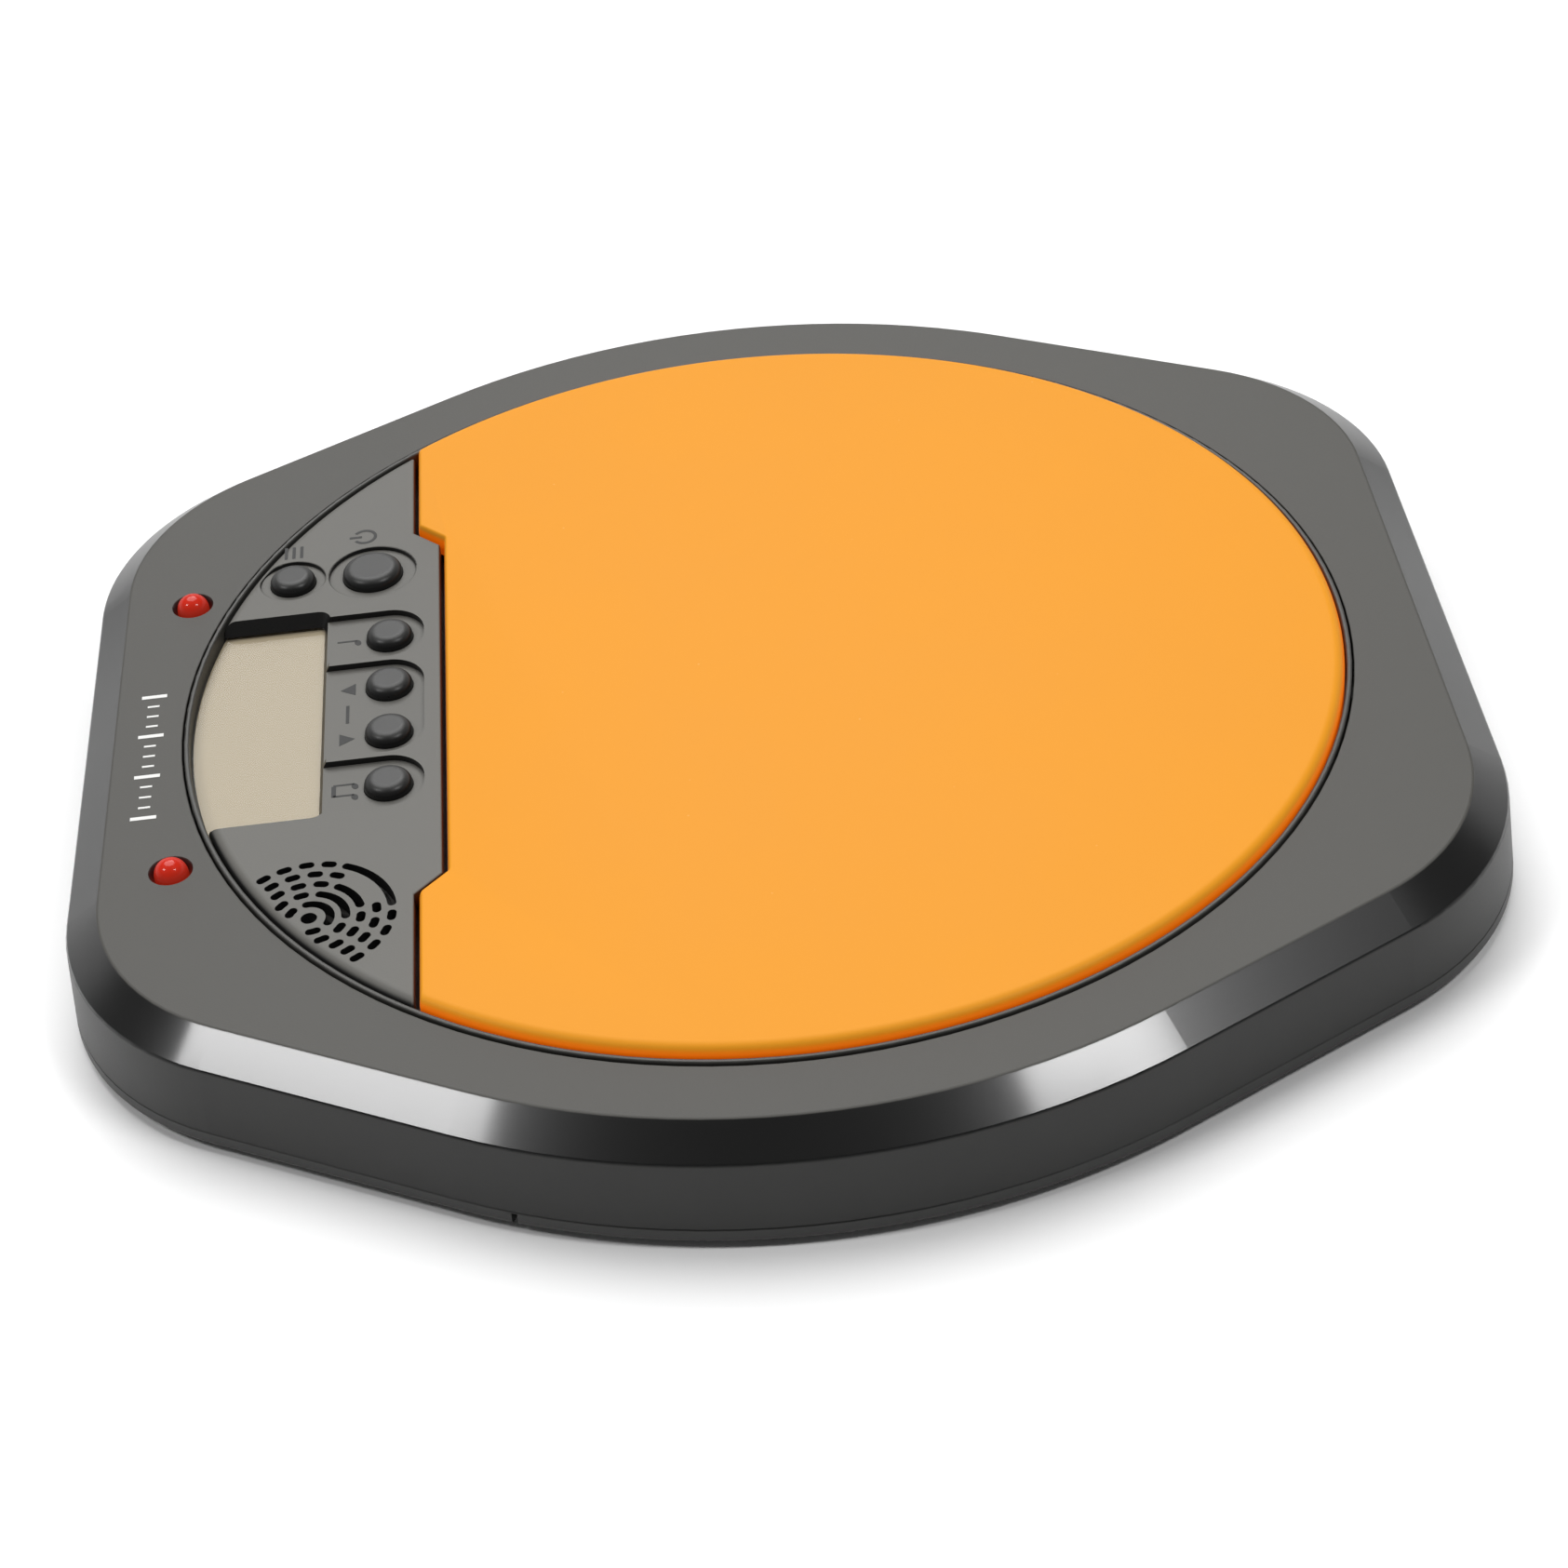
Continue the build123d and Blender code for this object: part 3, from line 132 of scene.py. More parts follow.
class Shading:
    """Node tree of one material or of the world, grown by calls."""

    def __init__(self, owner: bpy.types.Material | bpy.types.World) -> None:
        """Clears the owner's nodes and adds its coordinates."""
        owner.use_nodes = True
        self.tree = owner.node_tree
        self.tree.nodes.clear()
        self.coordinates = self.node("ShaderNodeTexCoord")

    def node(self, kind: str, settings: dict[str, object] | None = None,
             sockets: dict[str | int, object] | None = None) -> bpy.types.Node:
        """Adds a node.

        Args:
            kind: Its type.
            settings: Its own properties, set first.
            sockets: A value or a signal for each named or numbered input.

        Returns:
            The node.
        """
        made = self.tree.nodes.new(kind)
        for name, value in (settings or {}).items():
            setattr(made, name, value)
        for name, value in (sockets or {}).items():
            if isinstance(value, Signal):
                self.tree.links.new(value.socket, made.inputs[name])
            elif isinstance(value, tuple) and made.inputs[name].type == "RGBA":
                made.inputs[name].default_value = (*value[:3], 1.0)
            else:
                made.inputs[name].default_value = value
        return made

    def out(self, kind: str, settings: dict[str, object] | None = None,
            sockets: dict[str | int, object] | None = None, output: str | int = 0) -> Signal:
        """Adds a node and gives one of its outputs.

        Args:
            kind: Its type.
            settings: Its own properties.
            sockets: Its inputs.
            output: Name or number of the output.

        Returns:
            The output as a signal.
        """
        return Signal(self, self.node(kind, settings, sockets).outputs[output])

    @property
    def place(self) -> Signal:
        """The point on the piece, in metres of the frame at rest."""
        return Signal(self, self.coordinates.outputs["Object"])

    def axes(self) -> tuple[Signal, Signal, Signal]:
        """The point's three coordinates, in millimetres."""
        parts = self.node("ShaderNodeSeparateXYZ", sockets={0: self.place})
        x, y, z = (Signal(self, socket) * (1 / MM) for socket in parts.outputs)
        return x, y, z

    def upward(self) -> Signal:
        """How far the surface faces up: 1 on level ground and 0 on a wall."""
        parts = self.node("ShaderNodeSeparateXYZ", sockets={0: Signal(self, self.coordinates.outputs["Normal"])})
        return Signal(self, parts.outputs["Z"])

    def noise(self, size: float, detail: float = 2.0, roughness: float = 0.5) -> Signal:
        """Cloudy noise from 0 to 1.

        Args:
            size: Size of its blobs in millimetres.
            detail: How many finer layers it has.
            roughness: How strong the finer layers are.

        Returns:
            The noise.
        """
        sockets = {"Vector": self.place, "Scale": 1 / (size * MM), "Detail": detail, "Roughness": roughness}
        return self.out("ShaderNodeTexNoise", sockets=sockets)

    def cells(self, size: float, feature: str = "F1") -> Signal:
        """Distance within cells of a size in millimetres."""
        sockets = {"Vector": self.place, "Scale": 1 / (size * MM)}
        return self.out("ShaderNodeTexVoronoi", {"feature": feature}, sockets, "Distance")

    def mix(self, factor: Signal | float, first: Signal | Colour, second: Signal | Colour) -> Signal:
        """Blend of two colours.

        Args:
            factor: 0 for the first and 1 for the second.
            first: One colour.
            second: The other colour.

        Returns:
            The blended colour.
        """
        return self.out("ShaderNodeMix", {"data_type": "RGBA"}, {0: factor, 6: first, 7: second}, 2)

    def shade(self, colour: Colour, amount: float, pattern: Signal) -> Signal:
        """A colour made darker and lighter by a pattern.

        Args:
            colour: The middle colour.
            amount: Share that it changes by, each way.
            pattern: 0 for darkest and 1 for lightest.

        Returns:
            The varied colour.
        """
        dark = tuple(value * (1 - amount) for value in colour)
        light = tuple(value * (1 + amount) for value in colour)
        return self.mix(pattern, dark, light)

    def bump(self, height: Signal, distance: float) -> Signal:
        """Fine relief.

        Args:
            height: 0 for its valleys and 1 for its tops.
            distance: Height of the relief in millimetres.

        Returns:
            The bent normal.
        """
        sockets = {"Height": height, "Distance": distance * MM, "Strength": 1.0}
        return self.out("ShaderNodeBump", sockets=sockets, output="Normal")

    def surface(self, shader: bpy.types.Node) -> None:
        """Joins a shader to the output."""
        output = self.node("ShaderNodeOutputMaterial")
        self.tree.links.new(shader.outputs[0], output.inputs["Surface"])


@dataclass(frozen=True)
class Finish:
    """What a surface is made of. Each kind of finish says how it is shaded."""

    name: str
    colour: Colour

    def material(self) -> bpy.types.Material:
        """The finish's material, made once."""
        ready = bpy.data.materials.get(self.name)
        if ready is None:
            ready = bpy.data.materials.new(self.name)
            self.shade(Shading(ready))
        return ready

    def shade(self, shading: Shading) -> None:
        """Adds the finish's nodes."""
        raise NotImplementedError(self.name)


@dataclass(frozen=True)
class Plastic(Finish):
    """Moulded plastic with a spark-eroded grain and faint mottling."""

    roughness: float = 0.5
    grain: float = 0.45
    relief: float = 0.02
    mottle: float = 0.08
    specular: float = 0.5

    def shade(self, shading: Shading) -> None:
        """Mottled colour, uneven gloss and grain."""
        clouds = shading.noise(9.0, 4.0)
        fine = shading.noise(self.grain, 3.0, 0.6)
        shading.surface(shading.node("ShaderNodeBsdfPrincipled", sockets={
            "Base Color": shading.shade(self.colour, self.mottle, clouds * 0.6 + fine * 0.4),
            "Roughness": self.roughness + (fine - 0.5) * 0.16 + (clouds - 0.5) * 0.06,
            "Specular IOR Level": self.specular,
            "Normal": shading.bump(fine, self.relief),
        }))


@dataclass(frozen=True)
class DishedPlastic(Plastic):
    """Grained plastic whose steep faces, in recesses and round edges, are smooth, with painted shade that makes
    them nearly black.
    """

    steep_painted_shade: Colour = (0.012, 0.012, 0.012)
    steep_roughness: float = 0.3
    steep_start: float = 0.9
    steep_end: float = 0.5

    def shade(self, shading: Shading) -> None:
        """Grain on the level faces; the steep ones, told by the way they face, get painted shade."""
        steep = 1 - shading.upward().step(self.steep_end, self.steep_start)
        clouds = shading.noise(9.0, 4.0)
        fine = shading.noise(self.grain, 3.0, 0.6)
        level = shading.shade(self.colour, self.mottle, clouds * 0.6 + fine * 0.4)
        roughness = self.roughness + (fine - 0.5) * 0.16 + (clouds - 0.5) * 0.06
        shading.surface(shading.node("ShaderNodeBsdfPrincipled", sockets={
            # painted shade: steep faces (recess walls, key sides) take a near-black colour in place of the shade
            # that falls on them
            "Base Color": shading.mix(steep, level, self.steep_painted_shade),
            "Roughness": roughness + steep * (self.steep_roughness - self.roughness),
            "Specular IOR Level": self.specular,
            "Normal": shading.bump(fine * (1 - steep * 0.7), self.relief),
        }))


@dataclass(frozen=True)
class CasingPlastic(Finish):
    """Upper casing's plastic: grained top, satin wall, and a bevel whose polish fades towards the far side."""

    bevel_colour: Colour = (0.006, 0.006, 0.006)
    wall_colour: Colour = (0.026, 0.026, 0.025)
    top_level: float = 26.1
    bevel_level: float = 20.75
    blend: float = 0.3
    top_roughness: float = 0.52
    bevel_roughness: float = 0.3
    wall_roughness: float = 0.42
    specular: float = 0.3
    coat: float = 0.85
    coat_fade: float = 0.85
    coat_reach: float = 90.0
    polish: float = 0.12
    grain: float = 0.42
    relief: float = 0.024

    def shade(self, shading: Shading) -> None:
        """Three finishes told apart by height, with grain on the top and wall."""
        x, _, z = shading.axes()
        top = z.step(self.top_level - self.blend, self.top_level - self.blend / 6)
        wall = 1 - z.step(self.bevel_level - self.blend, self.bevel_level + self.blend / 3)
        clouds = shading.noise(14.0, 4.0)
        fine = shading.noise(self.grain, 3.0, 0.62)
        grain = top + wall * 0.5
        upper = shading.mix(top, self.bevel_colour, shading.shade(self.colour, 0.1, clouds * 0.5 + fine * 0.5))
        roughness = self.bevel_roughness + top * (self.top_roughness - self.bevel_roughness)
        roughness = roughness + wall * (self.wall_roughness - self.bevel_roughness)
        shading.surface(shading.node("ShaderNodeBsdfPrincipled", sockets={
            "Base Color": shading.mix(wall, upper, shading.shade(self.wall_colour, 0.12, clouds)),
            "Roughness": roughness + (fine - 0.5) * grain * 0.18 + (clouds - 0.5) * 0.03,
            "Specular IOR Level": self.specular,
            "Coat Weight": (1 - top - wall) * (1 - x.step(0.0, self.coat_reach) * self.coat_fade) * self.coat,
            "Coat Roughness": self.polish,
            "Normal": shading.bump(fine * grain + clouds * 0.02, self.relief),
        }))


@dataclass(frozen=True)
class Silicone(Finish):
    """Dense coloured silicone: matt top with a faint bloom, and a deeper colour and a painted glow round its edge
    that stand in for light passing through it.
    """

    edge_colour: Colour = (0.98, 0.24, 0.006)
    painted_edge_glow: Colour = (0.3, 0.035, 0.0)
    top_level: float = 28.6
    edge_start: float = 0.5
    edge_depth: float = 1.9
    roughness: float = 0.46
    relief: float = 0.012

    def shade(self, shading: Shading) -> None:
        """Colour that deepens down the rounded edge and a painted glow there, both painted light for light coming
        through the silicone, with bloom and a fine skin.
        """
        _, _, z = shading.axes()
        edge = 1 - z.step(self.top_level - self.edge_depth, self.top_level - self.edge_start)
        clouds = shading.noise(55.0, 3.0)
        skin = shading.noise(0.7, 3.0, 0.6)
        specks = 1 - shading.cells(11.0).step(0.0, 0.035)
        top = shading.shade(self.colour, 0.03, clouds)
        dusted = shading.mix(specks * 0.25, top, (0.95, 0.62, 0.3))
        shading.surface(shading.node("ShaderNodeBsdfPrincipled", sockets={
            # painted light: the deeper edge colour stands in for light passing through the thin silicone edge
            "Base Color": shading.mix(edge, dusted, self.edge_colour),
            "Roughness": self.roughness + (clouds - 0.5) * 0.08 - edge * 0.12 + (skin - 0.5) * 0.06,
            "Specular IOR Level": 0.12,
            # painted glow: emission on the rounded edge, though the pad is no lamp
            "Emission Color": shading.mix(edge, (0.0, 0.0, 0.0), self.painted_edge_glow),
            "Emission Strength": 1.0,
            "Normal": shading.bump(skin * 0.5 + clouds * 0.5, self.relief),
        }))


@dataclass(frozen=True)
class Foam(Finish):
    """Open-cell foam."""

    pore: float = 0.9

    def shade(self, shading: Shading) -> None:
        """Pores of two sizes that dent the surface, with painted shade darkening them."""
        pores = shading.cells(self.pore) * 0.7 + shading.cells(self.pore * 0.35) * 0.3
        shading.surface(shading.node("ShaderNodeBsdfPrincipled", sockets={
            # painted shade: the pores' dented centres are darker where shade would fall inside them
            "Base Color": shading.shade(self.colour, 0.45, pores),
            "Roughness": 0.95,
            "Specular IOR Level": 0.2,
            "Normal": shading.bump(pores, 0.25),
        }))


@dataclass(frozen=True)
class Rubber(Finish):
    """Dull moulded rubber with a dusty bloom."""

    roughness: float = 0.8

    def shade(self, shading: Shading) -> None:
        """Cloudy bloom over a finely pitted skin."""
        clouds = shading.noise(5.0, 4.0)
        pits = shading.noise(0.3, 3.0, 0.7)
        shading.surface(shading.node("ShaderNodeBsdfPrincipled", sockets={
            "Base Color": shading.shade(self.colour, 0.3, clouds),
            "Roughness": self.roughness + (pits - 0.5) * 0.15,
            "Specular IOR Level": 0.3,
            "Normal": shading.bump(pits, 0.04),
        }))


@dataclass(frozen=True)
class Metal(Finish):
    """Plated or bare metal with fine scratches and a little tarnish."""

    roughness: float = 0.3
    tarnish: Colour = (0.2, 0.18, 0.15)

    def shade(self, shading: Shading) -> None:
        """Bright metal, tarnished in clouds and scratched in short strokes."""
        clouds = shading.noise(4.0, 5.0, 0.6)
        marks = shading.noise(0.25, 2.0, 0.7)
        shading.surface(shading.node("ShaderNodeBsdfPrincipled", sockets={
            "Base Color": shading.mix(clouds.step(0.5, 0.8) * 0.4, self.colour, self.tarnish),
            "Metallic": 1 - clouds.step(0.62, 0.85) * 0.25,
            "Roughness": self.roughness + (marks - 0.5) * 0.15 + clouds.step(0.5, 0.8) * 0.15,
            "Normal": shading.bump(marks, 0.008),
        }))


@dataclass(frozen=True)
class ClearWindow(Finish):
    """Thin clear plastic, which mirrors a little and shows what lies under it."""

    roughness: float = 0.06
    shine: float = 0.35
    ior: float = 1.49
    top_level: float = 23.85

    def shade(self, shading: Shading) -> None:
        """A clear pane whose top has a gloss that grows towards grazing angles."""
        _, _, z = shading.axes()
        top = z.step(self.top_level - 0.15, self.top_level - 0.05)
        gloss = shading.out("ShaderNodeFresnel", sockets={"IOR": self.ior}) * top
        smear = shading.noise(18.0, 3.0)
        pane = shading.node("ShaderNodeBsdfTransparent", sockets={"Color": self.colour})
        mirror = shading.node("ShaderNodeBsdfPrincipled", sockets={
            "Base Color": (0.9, 0.9, 0.9),
            "Metallic": 1.0,
            "Roughness": self.roughness + smear * 0.03,
        })
        mixed = shading.node("ShaderNodeMixShader", sockets={
            0: gloss * self.shine, 1: Signal(shading, pane.outputs[0]), 2: Signal(shading, mirror.outputs[0])})
        shading.surface(mixed)


@dataclass(frozen=True)
class DisplayFace(Finish):
    """Film of an unlit liquid-crystal display, with a faint grid of electrodes."""

    edge_colour: Colour = (0.1, 0.1, 0.09)
    face_level: float = 23.05

    def shade(self, shading: Shading) -> None:
        """Even reflecting film on the top, and dark cut edges."""
        x, y, z = shading.axes()
        face = z.step(self.face_level - 0.1, self.face_level - 0.02)
        grid = ((x * 2.1).wave() * (y * 2.1).wave()).step(0.2, 0.9)
        clouds = shading.noise(30.0, 2.0)
        film = shading.shade(self.colour, 0.025, clouds * 0.92 + grid * 0.08)
        shading.surface(shading.node("ShaderNodeBsdfPrincipled", sockets={
            "Base Color": shading.mix(face, self.edge_colour, film),
            "Roughness": 0.5 - face * 0.08 + clouds * 0.05,
            "Specular IOR Level": 0.3,
        }))


@dataclass(frozen=True)
class LedPlastic(Finish):
    """Tinted diffusing plastic of an LED, given a faint painted glow as if light were inside it."""

    glow: Colour = (0.9, 0.05, 0.02)
    painted_glow_strength: float = 0.2
    collar_level: float = 24.6

    def shade(self, shading: Shading) -> None:
        """Glossy tinted dome, with painted shade darker towards its collar and a painted glow."""
        _, _, z = shading.axes()
        dome = z.step(self.collar_level, self.collar_level + 3.5)
        clouds = shading.noise(1.5, 2.0)
        dark = tuple(value * 0.45 for value in self.colour)
        shading.surface(shading.node("ShaderNodeBsdfPrincipled", sockets={
            # painted shade: the dome's red darkens towards the collar
            "Base Color": shading.mix(dome * 0.85 + clouds * 0.15, dark, self.colour),
            "Roughness": 0.3 + clouds * 0.1,
            "Specular IOR Level": 0.05,
            "Coat Weight": 0.4,
            "Coat Roughness": 0.04,
            # painted glow: emission, though the LED holds no lamp
            "Emission Color": self.glow,
            "Emission Strength": self.painted_glow_strength,
        }))


@dataclass(frozen=True)
class Board(Finish):
    """Solder mask over copper tracks on a glass-fibre board."""

    track_colour: Colour = (0.02, 0.14, 0.05)

    def shade(self, shading: Shading) -> None:
        """Tracks show as paler raised lines under the mask."""
        tracks = shading.cells(2.4, "DISTANCE_TO_EDGE").step(0.05, 0.09)
        weave = shading.noise(0.5, 2.0)
        shading.surface(shading.node("ShaderNodeBsdfPrincipled", sockets={
            "Base Color": shading.mix(tracks, self.track_colour, self.colour),
            "Roughness": 0.32 + weave * 0.12,
            "Normal": shading.bump(tracks * -1.0 + weave * 0.2, 0.03),
        }))


@dataclass(frozen=True)
class Paper(Finish):
    """Pressed paper pulp of a speaker cone, with rings and fibres."""

    centre: Point = (-64.4, 91.0)

    def shade(self, shading: Shading) -> None:
        """Concentric ribs round the cone's axis under a fibrous skin."""
        x, y, _ = shading.axes()
        radius = ((x - self.centre[0]) ** 2.0 + (y - self.centre[1]) ** 2.0) ** 0.5
        ribs = (radius * 4.2).wave() * 0.5 + 0.5
        fibres = shading.noise(0.4, 4.0, 0.7)
        shading.surface(shading.node("ShaderNodeBsdfPrincipled", sockets={
            "Base Color": shading.shade(self.colour, 0.35, fibres),
            "Roughness": 0.9,
            "Normal": shading.bump(ribs * 0.7 + fibres * 0.3, 0.12),
        }))


@dataclass(frozen=True)
class CellSleeve(Finish):
    """Printed sleeve of a dry cell: a plain dark sleeve, one pale end band and bare metal ends."""

    band_colour: Colour = (0.75, 0.76, 0.78)
    half_length: float = 22.25

    def shade(self, shading: Shading) -> None:
        """Bands along the cell's length."""
        x, _, _ = shading.axes()
        band = x.step(self.half_length * 0.42, self.half_length * 0.44)
        ends = abs(x).step(self.half_length - 1.3, self.half_length - 1.1)
        wear = shading.noise(0.8, 3.0)
        shading.surface(shading.node("ShaderNodeBsdfPrincipled", sockets={
            "Base Color": shading.mix(ends, shading.mix(band, self.colour, self.band_colour), (0.6, 0.6, 0.58)),
            "Metallic": ends * 0.9,
            "Roughness": 0.3 + wear * 0.15,
            "Normal": shading.bump(wear, 0.01),
        }))


@dataclass(frozen=True)
class LeadSleeve(Finish):
    """Soft two-core lead's sleeve."""

    def shade(self, shading: Shading) -> None:
        """Slight smears on smooth vinyl."""
        smears = shading.noise(1.6, 3.0)
        shading.surface(shading.node("ShaderNodeBsdfPrincipled", sockets={
            "Base Color": shading.shade(self.colour, 0.2, smears),
            "Roughness": 0.42 + smears * 0.12,
            "Normal": shading.bump(smears, 0.02),
        }))


@dataclass(frozen=True)
class Ink(Finish):
    """Pad-printed ink, slightly broken where it sits on the grain."""

    def shade(self, shading: Shading) -> None:
        """Uneven ink with a low gloss."""
        cover = shading.noise(0.35, 3.0, 0.6)
        shading.surface(shading.node("ShaderNodeBsdfPrincipled", sockets={
            "Base Color": shading.shade(self.colour, 0.12, cover),
            "Roughness": 0.5 + cover * 0.2,
            "Normal": shading.bump(cover, 0.01),
        }))


@dataclass(frozen=True)
class StudioFloor(Finish):
    """Plain pale studio floor."""

    def shade(self, shading: Shading) -> None:
        """Matt paint with hardly any unevenness."""
        clouds = shading.noise(400.0, 2.0)
        shading.surface(shading.node("ShaderNodeBsdfPrincipled", sockets={
            "Base Color": shading.shade(self.colour, 0.004, clouds),
            "Roughness": 0.9,
            "Specular IOR Level": 0.1,
        }))


CASING = CasingPlastic("casing_plastic", (0.06, 0.058, 0.052))
LOWER = Plastic("lower_casing_plastic", (0.024, 0.024, 0.023), roughness=0.42, grain=0.42, relief=0.018)
TRAY = Plastic("tray_plastic", (0.05, 0.049, 0.045), specular=0.3, roughness=0.4, grain=0.6, relief=0.01)
# panel and keys: DishedPlastic paints their steep faces near black as painted shade
PANEL = DishedPlastic("panel_plastic", (0.112, 0.109, 0.099), specular=0.3, roughness=0.5, grain=0.42)
KEY = DishedPlastic("key_plastic", (0.034, 0.034, 0.033), specular=0.3, roughness=0.4, grain=0.6, relief=0.01,
                    steep_start=0.97, steep_end=0.45)
SOCKET = Plastic("socket_plastic", (0.012, 0.012, 0.012), roughness=0.45, grain=0.4, relief=0.01)
SWITCH = Plastic("switch_plastic", (0.03, 0.03, 0.032), roughness=0.4, grain=0.5, relief=0.01)
PAD = Silicone("pad_silicone", (0.72, 0.28, 0.012))
FOAM = Foam("damping_foam", (0.03, 0.03, 0.032))
FOOT = Rubber("foot_rubber", (0.018, 0.018, 0.018))
STEEL = Metal("galvanised_steel", (0.62, 0.62, 0.6), 0.38)
SCREW = Metal("screw_steel", (0.5, 0.5, 0.49), 0.28)
BRASS = Metal("brass", (0.78, 0.57, 0.22), 0.28, (0.3, 0.2, 0.08))
NICKEL = Metal("contact_nickel", (0.66, 0.64, 0.6), 0.25)
MAGNET = Metal("magnet_steel", (0.35, 0.35, 0.35), 0.45)
WINDOW = ClearWindow("display_window_clear", (0.96, 0.96, 0.94))
FACE = DisplayFace("display_film", (0.39, 0.328, 0.24))
MODULE = Plastic("module_frame", (0.04, 0.04, 0.042), roughness=0.4, grain=0.5, relief=0.01)
LED = LedPlastic("led_red", (0.42, 0.014, 0.006))
BOARD = Board("board_mask", (0.012, 0.085, 0.03))
CONE = Paper("cone_paper", (0.03, 0.028, 0.026))
CELL = CellSleeve("cell_sleeve", (0.02, 0.022, 0.03))
LEAD = LeadSleeve("lead_sleeve", (0.03, 0.03, 0.03))
DARK_INK = Ink("mark_ink_dark", (0.006, 0.006, 0.006))
PALE_INK = Ink("mark_ink_pale", (0.72, 0.72, 0.7))
FLOOR = StudioFloor("studio_floor", (0.93, 0.93, 0.93))


def dress(finish: Finish, *nodes: str) -> None:
    """Gives CAD nodes a finish.

    Args:
        finish: The finish.
        nodes: The nodes' names.
    """
    for name in nodes:
        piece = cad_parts[name]
        piece.data.materials.clear()
        piece.data.materials.append(finish.material())
        log.info("dressed %s in %s", name, finish.name)


def add_piece(name: str, mesh: bmesh.types.BMesh, finish: Finish, body: str,
              smooth_angle: float = 40.0) -> bpy.types.Object:
    """Turns a finished mesh into a piece that rides on a body.

    Args:
        name: The piece's name.
        mesh: Its mesh in metres of the frame, which is freed.
        finish: Its finish.
        body: The body that it moves with.
        smooth_angle: Edges sharper than this stay sharp, in degrees.

    Returns:
        The piece.
    """
    bmesh.ops.recalc_face_normals(mesh, faces=mesh.faces)
    for face in mesh.faces:
        face.smooth = True
    for edge in mesh.edges:
        edge.smooth = edge.is_manifold and edge.calc_face_angle(0.0) < math.radians(smooth_angle)
    data = bpy.data.meshes.new(name)
    mesh.to_mesh(data)
    mesh.free()
    piece = bpy.data.objects.new(name, data)
    bpy.context.scene.collection.objects.link(piece)
    data.materials.append(finish.material())
    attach(piece, body)
    log.info("built %s on %s in %s, %d faces", name, body, finish.name, len(data.polygons))
    return piece


class Bend(Enum):
    """Which way an outline turns at a corner."""

    CONVEX = 1
    CONCAVE = -1


@dataclass
class PadOutline:
    """Plan of the playing side: a circle whose panel side is cut straight, with a step in its middle.

    An inset moves the panel side by only a share of itself, so that a round edge is crisper there.
    """

    radius: float = 126.05
    side: float = 75.9
    side_share: float = 0.4
    step: float = 5.9
    step_half: float = 60.62
    convex_radius: float = 1.6
    concave_radius: float = 1.0
    arc_points: int = 288
    corner_points: int = 7

    def _corner(self, x: float, y: float, start: float, end: float, bend: Bend, inset: float) -> Ring:
        """Rounded corner between two straight sides.

        Args:
            x: Corner's place without inset.
            y: Corner's place without inset.
            start: Direction that the first side faces, in degrees.
            end: Direction that the second side faces, in degrees.
            bend: Which way it turns.
            inset: How far the outline is moved in.

        Returns:
            The corner's points.
        """
        first, second = math.radians(start), math.radians(end)
        size = 1 + math.cos(first - second)
        reach_x, reach_y = (math.cos(first) + math.cos(second)) / size, (math.sin(first) + math.sin(second)) / size
        radius = self._radius(bend, inset)
        shift = -inset - bend.value * radius
        return [(x + reach_x * shift + bend.value * radius * math.cos(first + (second - first) * share),
                 y + reach_y * shift + bend.value * radius * math.sin(first + (second - first) * share))
                for share in (count / self.corner_points for count in range(self.corner_points + 1))]

    def _radius(self, bend: Bend, inset: float) -> float:
        """Corner radius, which shrinks on a convex corner and grows on a concave one as the outline moves in."""
        if bend is Bend.CONVEX:
            return max(self.convex_radius - 0.4 * inset, 0.3)
        return self.concave_radius + inset

    def ring(self, inset: float) -> Ring:
        """The whole outline, moved in by an inset.

        Args:
            inset: Millimetres.

        Returns:
            The outline's points, anticlockwise.
        """
        side_inset = inset * self.side_share
        radius, side = self.radius - inset, self.side - side_inset
        corner = self._radius(Bend.CONVEX, side_inset)
        end_x, end_y = math.sqrt((radius - corner) ** 2 - (side - corner) ** 2), side - corner
        facing = math.degrees(math.atan2(end_y, end_x))
        sweep = 180 + 2 * facing
        points = []
        for count in range(self.arc_points + 1):
            angle = math.radians(180 - facing + sweep * count / self.arc_points)
            points.append((radius * math.cos(angle), radius * math.sin(angle)))
        for count in range(1, self.corner_points + 1):
            angle = math.radians(facing + (90 - facing) * count / self.corner_points)
            points.append((end_x + corner * math.cos(angle), end_y + corner * math.sin(angle)))
        outer_x, inner_x = self.step_half + self.step, self.step_half
        points += self._corner(outer_x, self.side, 90, 135, Bend.CONVEX, side_inset)
        points += self._corner(inner_x, self.side - self.step, 135, 90, Bend.CONCAVE, side_inset)
        points += self._corner(-inner_x, self.side - self.step, 90, 45, Bend.CONCAVE, side_inset)
        points += self._corner(-outer_x, self.side, 45, 90, Bend.CONVEX, side_inset)
        for count in range(self.corner_points):
            angle = math.radians(90 + (90 - facing) * count / self.corner_points)
            points.append((-end_x + corner * math.cos(angle), end_y + corner * math.sin(angle)))
        return points


